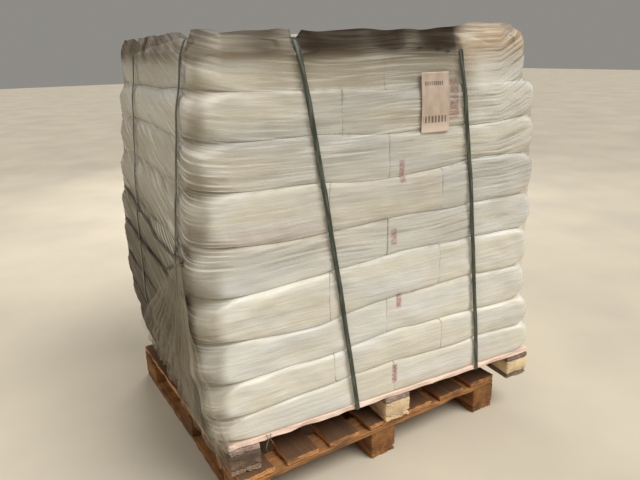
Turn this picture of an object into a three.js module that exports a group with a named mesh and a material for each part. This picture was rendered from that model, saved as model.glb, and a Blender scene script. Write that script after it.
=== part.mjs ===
// A pallet of sacks: nine layers of filled sacks on a wooden pallet, wrapped in stretch film, with two
// straps each way, standing on an empty pallet that lies turned beneath it.
// Millimetres. +X runs along the wide front from left to right, +Y to the back and +Z up.
// The origin is on the floor, under the middle of the whole.

import * as THREE from 'three';

// Pallet sizes: the loaded pallet is the upper one, the empty one is the lower.
// Lengths run along the deck boards, widths across them.
const upperPallet = {
  name: 'upper',
  length: 1200,
  width: 1000,
  board: 20,
  block: { alongLength: 100, alongWidth: 140, height: 50 },
  deckBoardWidth: 100,
  runnerWidth: 100,
  bottomBoardsRun: 'width',
};
const lowerPallet = {
  name: 'lower',
  length: 1000,
  width: 1068,
  board: 20,
  block: { alongLength: 140, alongWidth: 102, height: 76 },
  deckBoardWidth: 120,
  runnerWidth: 102,
  bottomBoardsRun: 'length',
};
const deckBoardCount = 7;
const rows = [-1, 0, 1];
const rowNames = ['a', 'b', 'c'];
const palletHeight = (pallet) => 3 * pallet.board + pallet.block.height;
const deckTop = palletHeight(lowerPallet) + palletHeight(upperPallet);

// Where the lower pallet lies: its front left corner, seen from the middle of the upper one, and its turn.
const lowerCorner = { x: -581, y: -524 };
const lowerTurn = THREE.MathUtils.degToRad(4);

// The stack of sacks. Each layer is stated from the bottom up, by how far its four sides stand out
// past the upper pallet's edges.
const overhangs = [
  { left: 45, right: 14, front: 0, back: 20 },
  { left: 62, right: -8, front: 2, back: 30 },
  { left: 70, right: -28, front: -4, back: 26 },
  { left: 66, right: -34, front: 0, back: 30 },
  { left: 62, right: -30, front: -6, back: 24 },
  { left: 52, right: -38, front: -4, back: 14 },
  { left: 36, right: -42, front: -12, back: 6 },
  { left: 28, right: -44, front: -18, back: -4 },
  { left: 12, right: -88, front: -32, back: -30 },
];
const layerCount = overhangs.length;

// Heights of the seams between the layers above the deck, read along the front from left to right
// at seamStations. The back has the same heights from right to left.
const seamStations = [0, 0.26, 0.5, 0.74, 1];
const seamHeights = [
  [0, 0, 0, 0, 0],
  [80, 100, 115, 110, 115],
  [190, 200, 225, 215, 220],
  [320, 315, 345, 355, 345],
  [455, 465, 495, 490, 485],
  [595, 595, 600, 615, 605],
  [750, 735, 730, 755, 750],
  [880, 865, 860, 860, 880],
  [1005, 995, 985, 985, 990],
  [1105, 1105, 1105, 1105, 1105],
];
const stackTop = 1105;

// Sack shape: how far a seam lies inside the bulges, the plan radius of the stack's corners,
// the roundness of a bulge, and the creases where two sacks of a layer meet.
const seamInset = 26;
const topInset = 62;
const cornerRadius = 85;
const bulgePower = 2.4;
const ringLevels = [0, 0.1, 0.3, 0.7, 0.9, 1];
const creaseDepth = 16;
const creaseHalfWidth = 20;
const crownHeight = 38;
const strapDentWidth = 45;
const layerGap = 0.3;

// A layer is five sacks: a row lying along the front and a row standing across behind it, or the
// other way round in every second layer. The splits are fractions of the layer's width and depth.
const layerPatterns = [
  { front: [0.5], back: [1 / 3, 2 / 3], sides: 0.4 },
  { front: [1 / 3, 2 / 3], back: [0.5], sides: 0.6 },
];
const patternOf = (layer) => layerPatterns[layer % 2];

// Stretch film.
const filmThickness = 1.6;
const filmClearance = 0.8;
const filmSeamInset = 16;
const filmSeamReach = 20;
const filmShoulderGap = 2;
const filmPastDeck = 3;
const filmHemCornerRadius = 8;
const filmAboveDeck = { hem: 3, fold: 5 };
const filmBesideDeck = { hem: 6, fold: 1.5, pastSacks: 5 };
// The hem's height above the deck along the left side from front to back, where it hangs past the deck,
// and how far it wraps round the two left corners.
const hemStations = [0, 0.3, 0.5, 0.75, 0.92, 1];
const hemHeights = [-36, -36, -12, -10, -36, -16];
const hemWrap = 0.06;
// The free upper edge stands up past the top between the straps and lies flat under them. It is
// highest near the right end of the front. A side strap crosses at the two front corners, so it lies
// flat round them as far as pastCorner.
const collar = { height: 40, inset: 30, pastCorner: 115, hump: { at: 380, height: 22, width: 160 } };

// Straps: a flat band round the stack and the upper pallet's deck. The two along Y cross the front,
// the two along X cross the left side. Each leans: its place at the deck and how it moves per
// millimetre of height.
const strapWidth = 16;
const strapThickness = 1.2;
const strapClearance = 0.8;
// Where the surfaces under a strap have grid lines: at the band's edges, and where the film's upper
// edge stands again.
const bandReach = 11;
const collarReach = 45;
const bandEdges = [-bandReach, bandReach];
const collarLines = [-collarReach, ...bandEdges, collarReach];
// The least fraction of a side between two grid lines.
const lineSpacing = 0.02;
const frontStraps = [
  { name: 'strap_front_left', at: -163, lean: -0.141 },
  { name: 'strap_front_right', at: 340, lean: -0.107 },
];
const sideStraps = [
  { name: 'strap_side_front', at: -300, lean: -0.09 },
  { name: 'strap_side_back', at: 140, lean: 0.06 },
];

// Paper label on the front.
const label = { left: 70, right: 175, bottom: 850, top: 1026, thickness: 0.8 };

// Finishes.
const finishes = {
  upperWood: { color: 0xa08a76, roughness: 0.9, metalness: 0 },
  lowerWood: { color: 0x9c6b3c, roughness: 0.9, metalness: 0 },
  sack: { color: 0xd8d2c4, roughness: 0.75, metalness: 0 },
  film: { color: 0xcfc8b4, roughness: 0.25, metalness: 0, transparent: true, opacity: 0.35 },
  strap: { color: 0x2e4034, roughness: 0.45, metalness: 0 },
  label: { color: 0xc9ab90, roughness: 0.8, metalness: 0 },
};

const part = new THREE.Group();

function addMesh(parent, name, geometry, finish) {
  const mesh = new THREE.Mesh(geometry, new THREE.MeshStandardMaterial(finish));
  mesh.name = name;
  parent.add(mesh);
  return mesh;
}

function addBox(parent, name, size, centre, finish) {
  const mesh = addMesh(parent, name, new THREE.BoxGeometry(size.x, size.y, size.z), finish);
  mesh.position.set(centre.x, centre.y, centre.z);
}

// Pallets

/** A pallet standing on z = 0 round its own middle, with its deck boards along X. */
function makePallet(pallet, finish) {
  const group = new THREE.Group();
  const { name, length, width, board, block } = pallet;
  const blockX = (length - block.alongLength) / 2;
  const blockY = (width - block.alongWidth) / 2;
  const deckPitch = (width - pallet.deckBoardWidth) / (deckBoardCount - 1);
  const bottomZ = board / 2;
  const blockZ = board + block.height / 2;
  const stringerZ = board * 1.5 + block.height;
  const deckZ = board * 2.5 + block.height;

  for (let i = 0; i < deckBoardCount; i += 1) {
    const y = (i - (deckBoardCount - 1) / 2) * deckPitch;
    const size = { x: length, y: pallet.deckBoardWidth, z: board };
    addBox(group, `${name}_deck_board_${i + 1}`, size, { x: 0, y, z: deckZ }, finish);
  }
  rows.forEach((row, i) => {
    const stringerX = row * (length - pallet.runnerWidth) / 2;
    const size = { x: pallet.runnerWidth, y: width, z: board };
    addBox(group, `${name}_stringer_${i + 1}`, size, { x: stringerX, y: 0, z: stringerZ }, finish);
    if (pallet.bottomBoardsRun === 'width') {
      addBox(group, `${name}_bottom_board_${i + 1}`, size, { x: stringerX, y: 0, z: bottomZ }, finish);
    } else {
      const runner = { x: length, y: pallet.runnerWidth, z: board };
      const runnerY = row * (width - pallet.runnerWidth) / 2;
      addBox(group, `${name}_bottom_board_${i + 1}`, runner, { x: 0, y: runnerY, z: bottomZ }, finish);
    }
    rows.forEach((column, j) => {
      const blockSize = { x: block.alongLength, y: block.alongWidth, z: block.height };
      const centre = { x: row * blockX, y: column * blockY, z: blockZ };
      addBox(group, `${name}_block_${rowNames[i]}${j + 1}`, blockSize, centre, finish);
    });
  });
  return group;
}

function addPallets() {
  const upper = makePallet(upperPallet, finishes.upperWood);
  upper.position.z = palletHeight(lowerPallet);
  part.add(upper);

  const lower = makePallet(lowerPallet, finishes.lowerWood);
  const towardsRight = new THREE.Vector2(Math.cos(lowerTurn), Math.sin(lowerTurn));
  const towardsBack = new THREE.Vector2(-Math.sin(lowerTurn), Math.cos(lowerTurn));
  const middle = new THREE.Vector2(lowerCorner.x, lowerCorner.y);
  middle.addScaledVector(towardsRight, lowerPallet.width / 2);
  middle.addScaledVector(towardsBack, lowerPallet.length / 2);
  lower.position.set(middle.x, middle.y, 0);
  lower.rotation.z = lowerTurn + Math.PI / 2;
  part.add(lower);
}

// Outlines of the stack: an outline is a rectangle with rounded corners at one height.

function layerBox(layer) {
  const hang = overhangs[layer];
  return {
    x0: -upperPallet.length / 2 - hang.left,
    x1: upperPallet.length / 2 + hang.right,
    y0: -upperPallet.width / 2 - hang.front,
    y1: upperPallet.width / 2 + hang.back,
  };
}

const grownBox = (box, by) => ({ x0: box.x0 - by, x1: box.x1 + by, y0: box.y0 - by, y1: box.y1 + by });

function mixedBox(a, b, t) {
  const mix = THREE.MathUtils.lerp;
  return { x0: mix(a.x0, b.x0, t), x1: mix(a.x1, b.x1, t), y0: mix(a.y0, b.y0, t), y1: mix(a.y1, b.y1, t) };
}

/** The layers on the two sides of a seam; the lowest and highest seams touch one layer only. */
function layersAtSeam(seam) {
  return [Math.max(seam - 1, 0), Math.min(seam, layerCount - 1)];
}

function seamBox(seam) {
  const [below, above] = layersAtSeam(seam);
  const inset = seam === layerCount ? topInset : seamInset;
  return grownBox(mixedBox(layerBox(below), layerBox(above), 0.5), -inset);
}

/** A bulge's share of its full reach at a height between its two seams, as a superellipse. */
const bulgeAt = (h) => (1 - Math.abs(2 * h - 1) ** bulgePower) ** (1 / bulgePower);

function sackBox(layer, h) {
  const seam = h < 0.5 ? layer : layer + 1;
  return mixedBox(seamBox(seam), layerBox(layer), h === 0 || h === 1 ? 0 : bulgeAt(h));
}

/** The value at a place on a line of straight pieces through the given stations. */
function alongStations(stations, values, place) {
  const next = stations.findIndex((station) => place <= station);
  if (next <= 0) return values[0];
  const t = (place - stations[next - 1]) / (stations[next] - stations[next - 1]);
  return THREE.MathUtils.lerp(values[next - 1], values[next], t);
}

function seamHeight(seam, u, v) {
  const front = alongStations(seamStations, seamHeights[seam], u);
  const back = alongStations(seamStations, seamHeights[seam], 1 - u);
  return deckTop + THREE.MathUtils.lerp(front, back, v);
}

/** Moves a point of a rectangle so that the rectangle's corners become quarter circles. */
function roundedPoint(box, radius, x, y) {
  const sideX = x - box.x0 < box.x1 - x ? -1 : 1;
  const sideY = y - box.y0 < box.y1 - y ? -1 : 1;
  const edgeX = sideX < 0 ? x - box.x0 : box.x1 - x;
  const edgeY = sideY < 0 ? y - box.y0 : box.y1 - y;
  const dx = radius - edgeX;
  const dy = radius - edgeY;
  if (dx <= 0 || dy <= 0) {
    return { x, y };
  }
  const reach = Math.max(dx, dy);
  const turn = (Math.PI / 4) * (Math.min(dx, dy) / reach);
  const newX = dx >= dy ? reach * Math.cos(turn) : reach * Math.sin(turn);
  const newY = dx >= dy ? reach * Math.sin(turn) : reach * Math.cos(turn);
  return { x: x + sideX * (newX - dx), y: y + sideY * (newY - dy) };
}

/** Grid lines across a side: the two rounded corners and the given fractions between them. */
function gridLines(low, high, fractions) {
  const near = [0, cornerRadius / 2, cornerRadius];
  const middle = fractions.map((f) => low + f * (high - low));
  return [...near.map((d) => low + d), ...middle, ...near.map((d) => high - d).reverse()];
}

const splitLines = (f, size) => [f - creaseHalfWidth / size, f, f + creaseHalfWidth / size];

/** Grid lines at the given distances from a strap at one height, as fractions of a side. */
function strapLines({ at, lean }, distances, height, low, high) {
  return distances.map((distance) => (at + lean * height + distance - low) / (high - low));
}

function sackGridFractions() {
  const top = seamBox(layerCount);
  const [leftLines, rightLines] = frontStraps.map((strap) => (
    strapLines(strap, bandEdges, stackTop, top.x0, top.x1)
  ));
  const backLines = strapLines(sideStraps[1], bandEdges, stackTop, top.y0, top.y1);
  return {
    x: [
      ...leftLines,
      ...[1 / 3, 1 / 2, 2 / 3].flatMap((split) => splitLines(split, upperPallet.length)),
      ...rightLines,
    ],
    y: [
      ...splitLines(layerPatterns[0].sides, upperPallet.width),
      1 / 2,
      ...splitLines(layerPatterns[1].sides, upperPallet.width),
      ...backLines,
    ],
  };
}

const sackFractions = sackGridFractions();

/** The film's grid lines on an outline at a height above the deck; those beside a strap follow it. */
function filmFractions(box, height) {
  const { x0, x1, y0, y1 } = box;
  const [leftLines, rightLines] = frontStraps.map((strap) => strapLines(strap, collarLines, height, x0, x1));
  const backLines = strapLines(sideStraps[1], collarLines, height, y0, y1);
  const cornerLine = collar.pastCorner / (x1 - x0);
  const leftStation = Math.min(seamStations[1], leftLines[0] - lineSpacing);
  const rightStation = Math.min(seamStations[3], rightLines[0] - lineSpacing);
  return {
    x: [cornerLine, leftStation, ...leftLines, 1 / 2, rightStation, ...rightLines, 1 - cornerLine],
    y: [collar.pastCorner / (y1 - y0), 0.3, 0.5, ...backLines],
  };
}

/** The grid positions round the outline, anticlockwise from the front left corner. */
function ringOrder(columns, lines) {
  const order = [];
  for (let i = 0; i < columns - 1; i += 1) order.push([i, 0]);
  for (let j = 0; j < lines - 1; j += 1) order.push([columns - 1, j]);
  for (let i = columns - 1; i > 0; i -= 1) order.push([i, lines - 1]);
  for (let j = lines - 1; j > 0; j -= 1) order.push([0, j]);
  return order;
}

/** The points of one outline, each with its fractions u across and v back. */
function outlinePoints(box, fractions, leftRadius = cornerRadius) {
  const xs = gridLines(box.x0, box.x1, fractions.x);
  const ys = gridLines(box.y0, box.y1, fractions.y);
  return ringOrder(xs.length, ys.length).map(([i, j]) => {
    const u = (xs[i] - box.x0) / (box.x1 - box.x0);
    const v = (ys[j] - box.y0) / (box.y1 - box.y0);
    const radius = u < 0.5 ? leftRadius : cornerRadius;
    return { ...roundedPoint(box, radius, xs[i], ys[j]), u, v };
  });
}

// Sacks

const nearSplit = (value, split) => Math.abs(value - split) < 0.001;

/** How far an outline point is drawn in by the crease between two sacks, along X and Y. */
function creaseAt(pattern, u, v) {
  const crease = { x: 0, y: 0 };
  if (v === 0 && pattern.front.some((split) => nearSplit(u, split))) crease.y = creaseDepth;
  if (v === 1 && pattern.back.some((split) => nearSplit(u, split))) crease.y = -creaseDepth;
  if (u === 0 && nearSplit(v, pattern.sides)) crease.x = creaseDepth;
  if (u === 1 && nearSplit(v, pattern.sides)) crease.x = -creaseDepth;
  return crease;
}

function layerRing(layer, h) {
  const pattern = patternOf(layer);
  const low = layer === 0 ? layerGap : layerGap / 2;
  const share = h === 0 || h === 1 ? 0 : bulgeAt(h);
  return outlinePoints(sackBox(layer, h), sackFractions).map(({ x, y, u, v }) => {
    const crease = creaseAt(pattern, u, v);
    const bottom = seamHeight(layer, u, v) + low;
    const top = seamHeight(layer + 1, u, v) - layerGap / 2;
    const z = THREE.MathUtils.lerp(bottom, top, h);
    return [x + crease.x * share, y + crease.y * share, z];
  });
}

/** A dome over one sack of the top layer, zero at its edges: one minus the fourth power each way. */
const dome = (s, t) => Math.max(0, 1 - (2 * s - 1) ** 4) * Math.max(0, 1 - (2 * t - 1) ** 4);

function spanAt(splits, value) {
  const edges = [0, ...splits, 1];
  const i = Math.min(edges.findLastIndex((edge) => value >= edge), edges.length - 2);
  return (value - edges[i]) / (edges[i + 1] - edges[i]);
}

/** The height of the top sacks' domes, pressed down along the straps. */
function crownAt(x, y, u, v) {
  const pattern = patternOf(layerCount - 1);
  const inFront = v < pattern.sides;
  const along = spanAt(inFront ? pattern.front : pattern.back, u);
  const across = inFront ? v / pattern.sides : (v - pattern.sides) / (1 - pattern.sides);
  const pressed = (distance) => 1 - Math.exp(-((distance / strapDentWidth) ** 2));
  const frontPress = frontStraps.map((strap) => pressed(x - strap.at - strap.lean * stackTop));
  const sidePress = sideStraps.map((strap) => pressed(y - strap.at - strap.lean * stackTop));
  return crownHeight * dome(along, across) * Math.min(...frontPress, ...sidePress);
}

/** The top face of the stack, as triangles of a grid whose edge is the outline's last ring. */
function topFace(vertices, ring, ringStart) {
  const box = seamBox(layerCount);
  const xs = gridLines(box.x0, box.x1, sackFractions.x);
  const ys = gridLines(box.y0, box.y1, sackFractions.y);
  const index = new Map();
  ringOrder(xs.length, ys.length).forEach(([i, j], n) => index.set(`${i},${j}`, ringStart + n));
  const faces = [];
  for (let i = 1; i < xs.length - 1; i += 1) {
    for (let j = 1; j < ys.length - 1; j += 1) {
      const u = (xs[i] - box.x0) / (box.x1 - box.x0);
      const v = (ys[j] - box.y0) / (box.y1 - box.y0);
      const { x, y } = roundedPoint(box, cornerRadius, xs[i], ys[j]);
      index.set(`${i},${j}`, vertices.length);
      vertices.push([x, y, ring[0][2] + crownAt(x, y, u, v)]);
    }
  }
  for (let i = 0; i < xs.length - 1; i += 1) {
    for (let j = 0; j < ys.length - 1; j += 1) {
      const [a, b] = [index.get(`${i},${j}`), index.get(`${i + 1},${j}`)];
      const [c, d] = [index.get(`${i + 1},${j + 1}`), index.get(`${i},${j + 1}`)];
      faces.push([a, b, c], [a, c, d]);
    }
  }
  return faces;
}

/** Joins rings of points, each above the last, by bands of triangles that face outwards. */
function bandFaces(ringCount, perRing, start = 0) {
  const faces = [];
  for (let r = 0; r < ringCount - 1; r += 1) {
    for (let n = 0; n < perRing; n += 1) {
      const next = (n + 1) % perRing;
      const a = start + r * perRing + n;
      const b = start + r * perRing + next;
      faces.push([a, b, b + perRing], [a, b + perRing, a + perRing]);
    }
  }
  return faces;
}

function flatFaces(ring) {
  return THREE.ShapeUtils.triangulateShape(ring.map(([x, y]) => new THREE.Vector2(x, y)), []);
}

function geometryFrom(vertices, faces) {
  const geometry = new THREE.BufferGeometry();
  geometry.setAttribute('position', new THREE.Float32BufferAttribute(vertices.flat(), 3));
  geometry.setIndex(faces.flat());
  geometry.computeVertexNormals();
  return geometry;
}

function layerGeometry(layer) {
  const rings = ringLevels.map((h) => layerRing(layer, h));
  const vertices = rings.flat();
  const perRing = rings[0].length;
  const lastStart = perRing * (rings.length - 1);
  const faces = bandFaces(rings.length, perRing);
  const bottom = flatFaces(layerRing(layer, 0)).map(([a, b, c]) => [a, c, b]);
  const isTop = layer === layerCount - 1;
  const top = isTop
    ? topFace(vertices, rings[rings.length - 1], lastStart)
    : flatFaces(rings[rings.length - 1]).map((face) => face.map((n) => n + lastStart));
  return geometryFrom(vertices, [...faces, ...bottom, ...top]);
}

function addSacks() {
  for (let layer = 0; layer < layerCount; layer += 1) {
    addMesh(part, `sack_layer_${layer + 1}`, layerGeometry(layer), finishes.sack);
  }
}

// Film

/** The film bridges a seam: it dips less than the sacks, and stays near the wider of the two layers. */
function filmSeamBox(seam) {
  const [below, above] = layersAtSeam(seam).map(layerBox);
  const mean = grownBox(mixedBox(below, above, 0.5), -filmSeamInset);
  return {
    x0: Math.min(mean.x0, Math.min(below.x0, above.x0) + filmSeamReach),
    x1: Math.max(mean.x1, Math.max(below.x1, above.x1) - filmSeamReach),
    y0: Math.min(mean.y0, Math.min(below.y0, above.y0) + filmSeamReach),
    y1: Math.max(mean.y1, Math.max(below.y1, above.y1) - filmSeamReach),
  };
}

/** The hem's height above the deck at a point of the outline. */
function hemHeight(u, v) {
  const left = alongStations(hemStations, hemHeights, v);
  return u < hemWrap ? left * (1 - u / hemWrap) : filmAboveDeck.hem;
}

/** The two lowest levels: the hem, and the fold where the film leaves the sacks. */
function hemLevels() {
  const sacks = sackBox(0, ringLevels[1]);
  const box = {
    x0: -upperPallet.length / 2 - filmBesideDeck.hem,
    x1: Math.max(sacks.x1, upperPallet.length / 2) + filmPastDeck,
    y0: Math.min(sacks.y0, -upperPallet.width / 2) - filmPastDeck,
    y1: Math.max(sacks.y1, upperPallet.width / 2) + filmPastDeck,
  };
  const foldBox = { ...box, x0: seamBox(0).x0 - filmBesideDeck.pastSacks };
  const foldHeight = (u) => (u < hemWrap ? filmBesideDeck.fold : filmAboveDeck.fold);
  return [
    { box, z: (u, v) => deckTop + hemHeight(u, v), lift: 0, leftRadius: filmHemCornerRadius },
    { box: foldBox, z: (u) => deckTop + foldHeight(u), lift: 0, leftRadius: filmHemCornerRadius },
  ];
}

/** The film's levels from its hem up: a box for its inner face and a height for each point. */
function filmLevels() {
  const levels = hemLevels();
  for (let layer = 0; layer < layerCount; layer += 1) {
    const isTop = layer === layerCount - 1;
    const shares = ringLevels.filter((h) => h > 0 && (h < 1 || isTop));
    shares.forEach((h) => {
      const z = (u, v) => THREE.MathUtils.lerp(seamHeight(layer, u, v), seamHeight(layer + 1, u, v), h);
      const isBulge = h > 0.2 && h < 0.8;
      const isCrest = isTop && h > 0.8;
      const box = grownBox(sackBox(layer, h), isBulge || isCrest ? 0 : filmShoulderGap);
      const level = { box, z, lift: isCrest ? 1 : 0, leftRadius: cornerRadius };
      levels.push({ ...level, isUpperEdge: h === 1, isBulge });
    });
    if (!isTop) {
      const z = (u, v) => seamHeight(layer + 1, u, v);
      levels.push({ box: filmSeamBox(layer + 1), z, lift: 0, leftRadius: cornerRadius });
    }
  }
  return levels;
}

/** How upright the film's upper edge is: 0 under a strap and round the front corners, 1 past them. */
function uprightShare(box, { x, y, u, v }) {
  const isSide = u === 0 || u === 1;
  const straps = isSide ? sideStraps : frontStraps;
  const place = isSide ? y : x;
  const alongFront = v === 0 ? Math.min(u, 1 - u) * (box.x1 - box.x0) : Infinity;
  const fromCorner = isSide ? v * (box.y1 - box.y0) : alongFront;
  return Math.min(
    THREE.MathUtils.smoothstep(fromCorner, cornerRadius, collar.pastCorner),
    ...straps.map(({ at, lean }) => (
      THREE.MathUtils.smoothstep(Math.abs(place - at - lean * stackTop), bandReach, collarReach)
    )),
  );
}

/** The upper edge's full height past the top of the stack. */
function collarHeight(x, y) {
  const { at, height, width } = collar.hump;
  const hump = y < 0 ? height * Math.exp(-(((x - at) / width) ** 2)) : 0;
  return collar.height + hump;
}

/** The film's rings of points at a distance outside the sacks. */
function filmRings(offset) {
  const mix = THREE.MathUtils.lerp;
  return filmLevels().map(({ box, z, lift, leftRadius, isUpperEdge }) => {
    const height = z(0.5, 0) - deckTop;
    const outlineAt = (reach) => {
      const reached = grownBox(box, reach);
      return outlinePoints(reached, filmFractions(reached, height), leftRadius);
    };
    const points = outlineAt(offset);
    if (!isUpperEdge) {
      return points.map(({ x, y, u, v }) => [x, y, z(u, v) + lift * offset]);
    }
    const upright = outlineAt(offset + topInset - collar.inset);
    return points.map((point, n) => {
      const { x, y, u, v } = point;
      const share = uprightShare(box, point);
      const top = z(u, v) + offset + share * collarHeight(x, y);
      return [mix(x, upright[n].x, share), mix(y, upright[n].y, share), top];
    });
  });
}

function filmGeometry() {
  const outer = filmRings(filmClearance + filmThickness);
  const inner = filmRings(filmClearance);
  const perRing = outer[0].length;
  const levels = outer.length;
  const innerStart = perRing * levels;
  const vertices = [...outer.flat(), ...inner.flat()];
  const outerFaces = bandFaces(levels, perRing);
  const innerFaces = bandFaces(levels, perRing, innerStart).map(([a, b, c]) => [a, c, b]);
  const rim = [];
  for (let n = 0; n < perRing; n += 1) {
    const next = (n + 1) % perRing;
    rim.push([n, innerStart + n, innerStart + next], [n, innerStart + next, next]);
    const [a, b] = [innerStart - perRing + n, innerStart - perRing + next];
    const [c, d] = [2 * innerStart - perRing + n, 2 * innerStart - perRing + next];
    rim.push([a, b, d], [a, d, c]);
  }
  return geometryFrom(vertices, [...outerFaces, ...innerFaces, ...rim]);
}

// Straps

/** The convex outline of flat points, anticlockwise, by the monotone chain. */
function convexOutline(points) {
  const sorted = [...points].sort((p, q) => p.x - q.x || p.y - q.y);
  const turns = (o, a, b) => (a.x - o.x) * (b.y - o.y) - (a.y - o.y) * (b.x - o.x);
  const chain = (list) => {
    const out = [];
    list.forEach((p) => {
      while (out.length > 1 && turns(out[out.length - 2], out[out.length - 1], p) <= 0) out.pop();
      out.push(p);
    });
    out.pop();
    return out;
  };
  return [...chain(sorted), ...chain(sorted.reverse())];
}

/** An outline moved outwards by a distance, with mitred corners. */
function offsetOutline(points, distance) {
  return points.map((p, i) => {
    const before = points[(i + points.length - 1) % points.length];
    const after = points[(i + 1) % points.length];
    const inNormal = new THREE.Vector2(p.y - before.y, before.x - p.x).normalize();
    const outNormal = new THREE.Vector2(after.y - p.y, p.x - after.x).normalize();
    const mitre = inNormal.clone().add(outNormal).normalize();
    const reach = distance / mitre.dot(outNormal);
    return new THREE.Vector2(p.x + mitre.x * reach, p.y + mitre.y * reach);
  });
}

/** A flat band that follows a closed outline, one strap width wide, in the outline's own plane. */
function strapGeometry(outline) {
  const shape = new THREE.Shape(offsetOutline(outline, strapThickness));
  shape.holes.push(new THREE.Path([...outline].reverse()));
  const settings = { depth: strapWidth, bevelEnabled: false, curveSegments: 1 };
  return new THREE.ExtrudeGeometry(shape, settings);
}

/** The film's outer face in a section across the stack, between two opposite sides. */
function filmSection(low, high, heightAt) {
  const offset = filmClearance + filmThickness + strapClearance;
  return filmLevels().flatMap(({ box, z, lift }) => seamStations.flatMap((station) => [
    new THREE.Vector2(box[low] - offset, heightAt(z, station, 0) + lift * offset),
    new THREE.Vector2(box[high] + offset, heightAt(z, station, 1) + lift * offset),
  ]));
}

/** Two points at one height, to the left and right of the middle. */
const pairAt = (across, height) => [new THREE.Vector2(-across, height), new THREE.Vector2(across, height)];

/** Leans a band: moves each point across by its lean for each millimetre above the deck. */
function leanGeometry(geometry, axis, { at, lean }) {
  const position = geometry.attributes.position;
  for (let i = 0; i < position.count; i += 1) {
    const across = at + lean * (position.getZ(i) - deckTop);
    if (axis === 'x') position.setX(i, position.getX(i) + across);
    else position.setY(i, position.getY(i) + across);
  }
  geometry.computeVertexNormals();
}

function addFrontStrap(strap) {
  const belowBoards = deckTop - upperPallet.board - strapClearance / 2;
  const outline = convexOutline([
    ...filmSection('y0', 'y1', (z, station, side) => z(station, side)),
    ...pairAt(upperPallet.width / 2 + strapClearance / 2, belowBoards),
  ]);
  const geometry = strapGeometry(outline);
  geometry.rotateX(Math.PI / 2);
  geometry.rotateZ(Math.PI / 2);
  geometry.translate(-strapWidth / 2, 0, 0);
  leanGeometry(geometry, 'x', strap);
  addMesh(part, strap.name, geometry, finishes.strap);
}

/** A strap across the sides lies on the two straps across the front. */
function addSideStrap(strap) {
  const belowStringers = deckTop - 2 * upperPallet.board - strapClearance / 2;
  const underside = filmClearance + filmThickness + strapClearance;
  const crest = deckTop + stackTop + underside + strapThickness + strapClearance;
  const outline = convexOutline([
    ...filmSection('x0', 'x1', (z, station, side) => z(side, station)),
    ...pairAt(upperPallet.length / 3, crest),
    ...pairAt(upperPallet.length / 2 + strapClearance / 2, belowStringers),
  ]);
  const geometry = strapGeometry(outline);
  geometry.rotateX(Math.PI / 2);
  geometry.translate(0, strapWidth / 2, 0);
  leanGeometry(geometry, 'y', strap);
  addMesh(part, strap.name, geometry, finishes.strap);
}

// Label

/** The line that the label follows from bulge to bulge of the film's front: Y against height. */
function filmFrontProfile() {
  const u = 0.6;
  const offset = filmClearance + filmThickness + strapClearance;
  const bulges = filmLevels().filter((level) => level.isBulge);
  return bulges.map(({ box, z }) => new THREE.Vector2(box.y0 - offset, z(u, 0)));
}

function profileY(profile, z) {
  const i = profile.findIndex((p) => p.y > z);
  const [a, b] = [profile[i - 1], profile[i]];
  return THREE.MathUtils.lerp(a.x, b.x, (z - a.y) / (b.y - a.y));
}

function addLabel() {
  const profile = filmFrontProfile();
  const [low, high] = [deckTop + label.bottom, deckTop + label.top];
  const inside = profile.filter((p) => p.y > low && p.y < high);
  const back = [
    new THREE.Vector2(profileY(profile, low), low),
    ...inside,
    new THREE.Vector2(profileY(profile, high), high),
  ];
  const front = back.map((p) => new THREE.Vector2(p.x - label.thickness, p.y)).reverse();
  const shape = new THREE.Shape([...back, ...front]);
  const settings = { depth: label.right - label.left, bevelEnabled: false, curveSegments: 1 };
  const geometry = new THREE.ExtrudeGeometry(shape, settings);
  geometry.rotateX(Math.PI / 2);
  geometry.rotateZ(Math.PI / 2);
  geometry.translate(label.left, 0, 0);
  addMesh(part, 'label', geometry, finishes.label);
}

addPallets();
addSacks();
addMesh(part, 'stretch_film', filmGeometry(), finishes.film);
frontStraps.forEach(addFrontStrap);
sideStraps.forEach(addSideStrap);
addLabel();

// The origin is under the middle of the whole.
const middle = new THREE.Box3().setFromObject(part).getCenter(new THREE.Vector3());
part.position.set(-middle.x, -middle.y, 0);

export default part;
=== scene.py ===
"""A pallet of sacks, dressed: filled sacks, stretch film, strapping, a paper label and two wooden pallets."""

import logging
import math
from collections.abc import Callable
from dataclasses import dataclass, field
from enum import Enum

import bpy
import numpy as np
from bpy.types import Material, Object
from mathutils import Matrix, Vector


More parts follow.
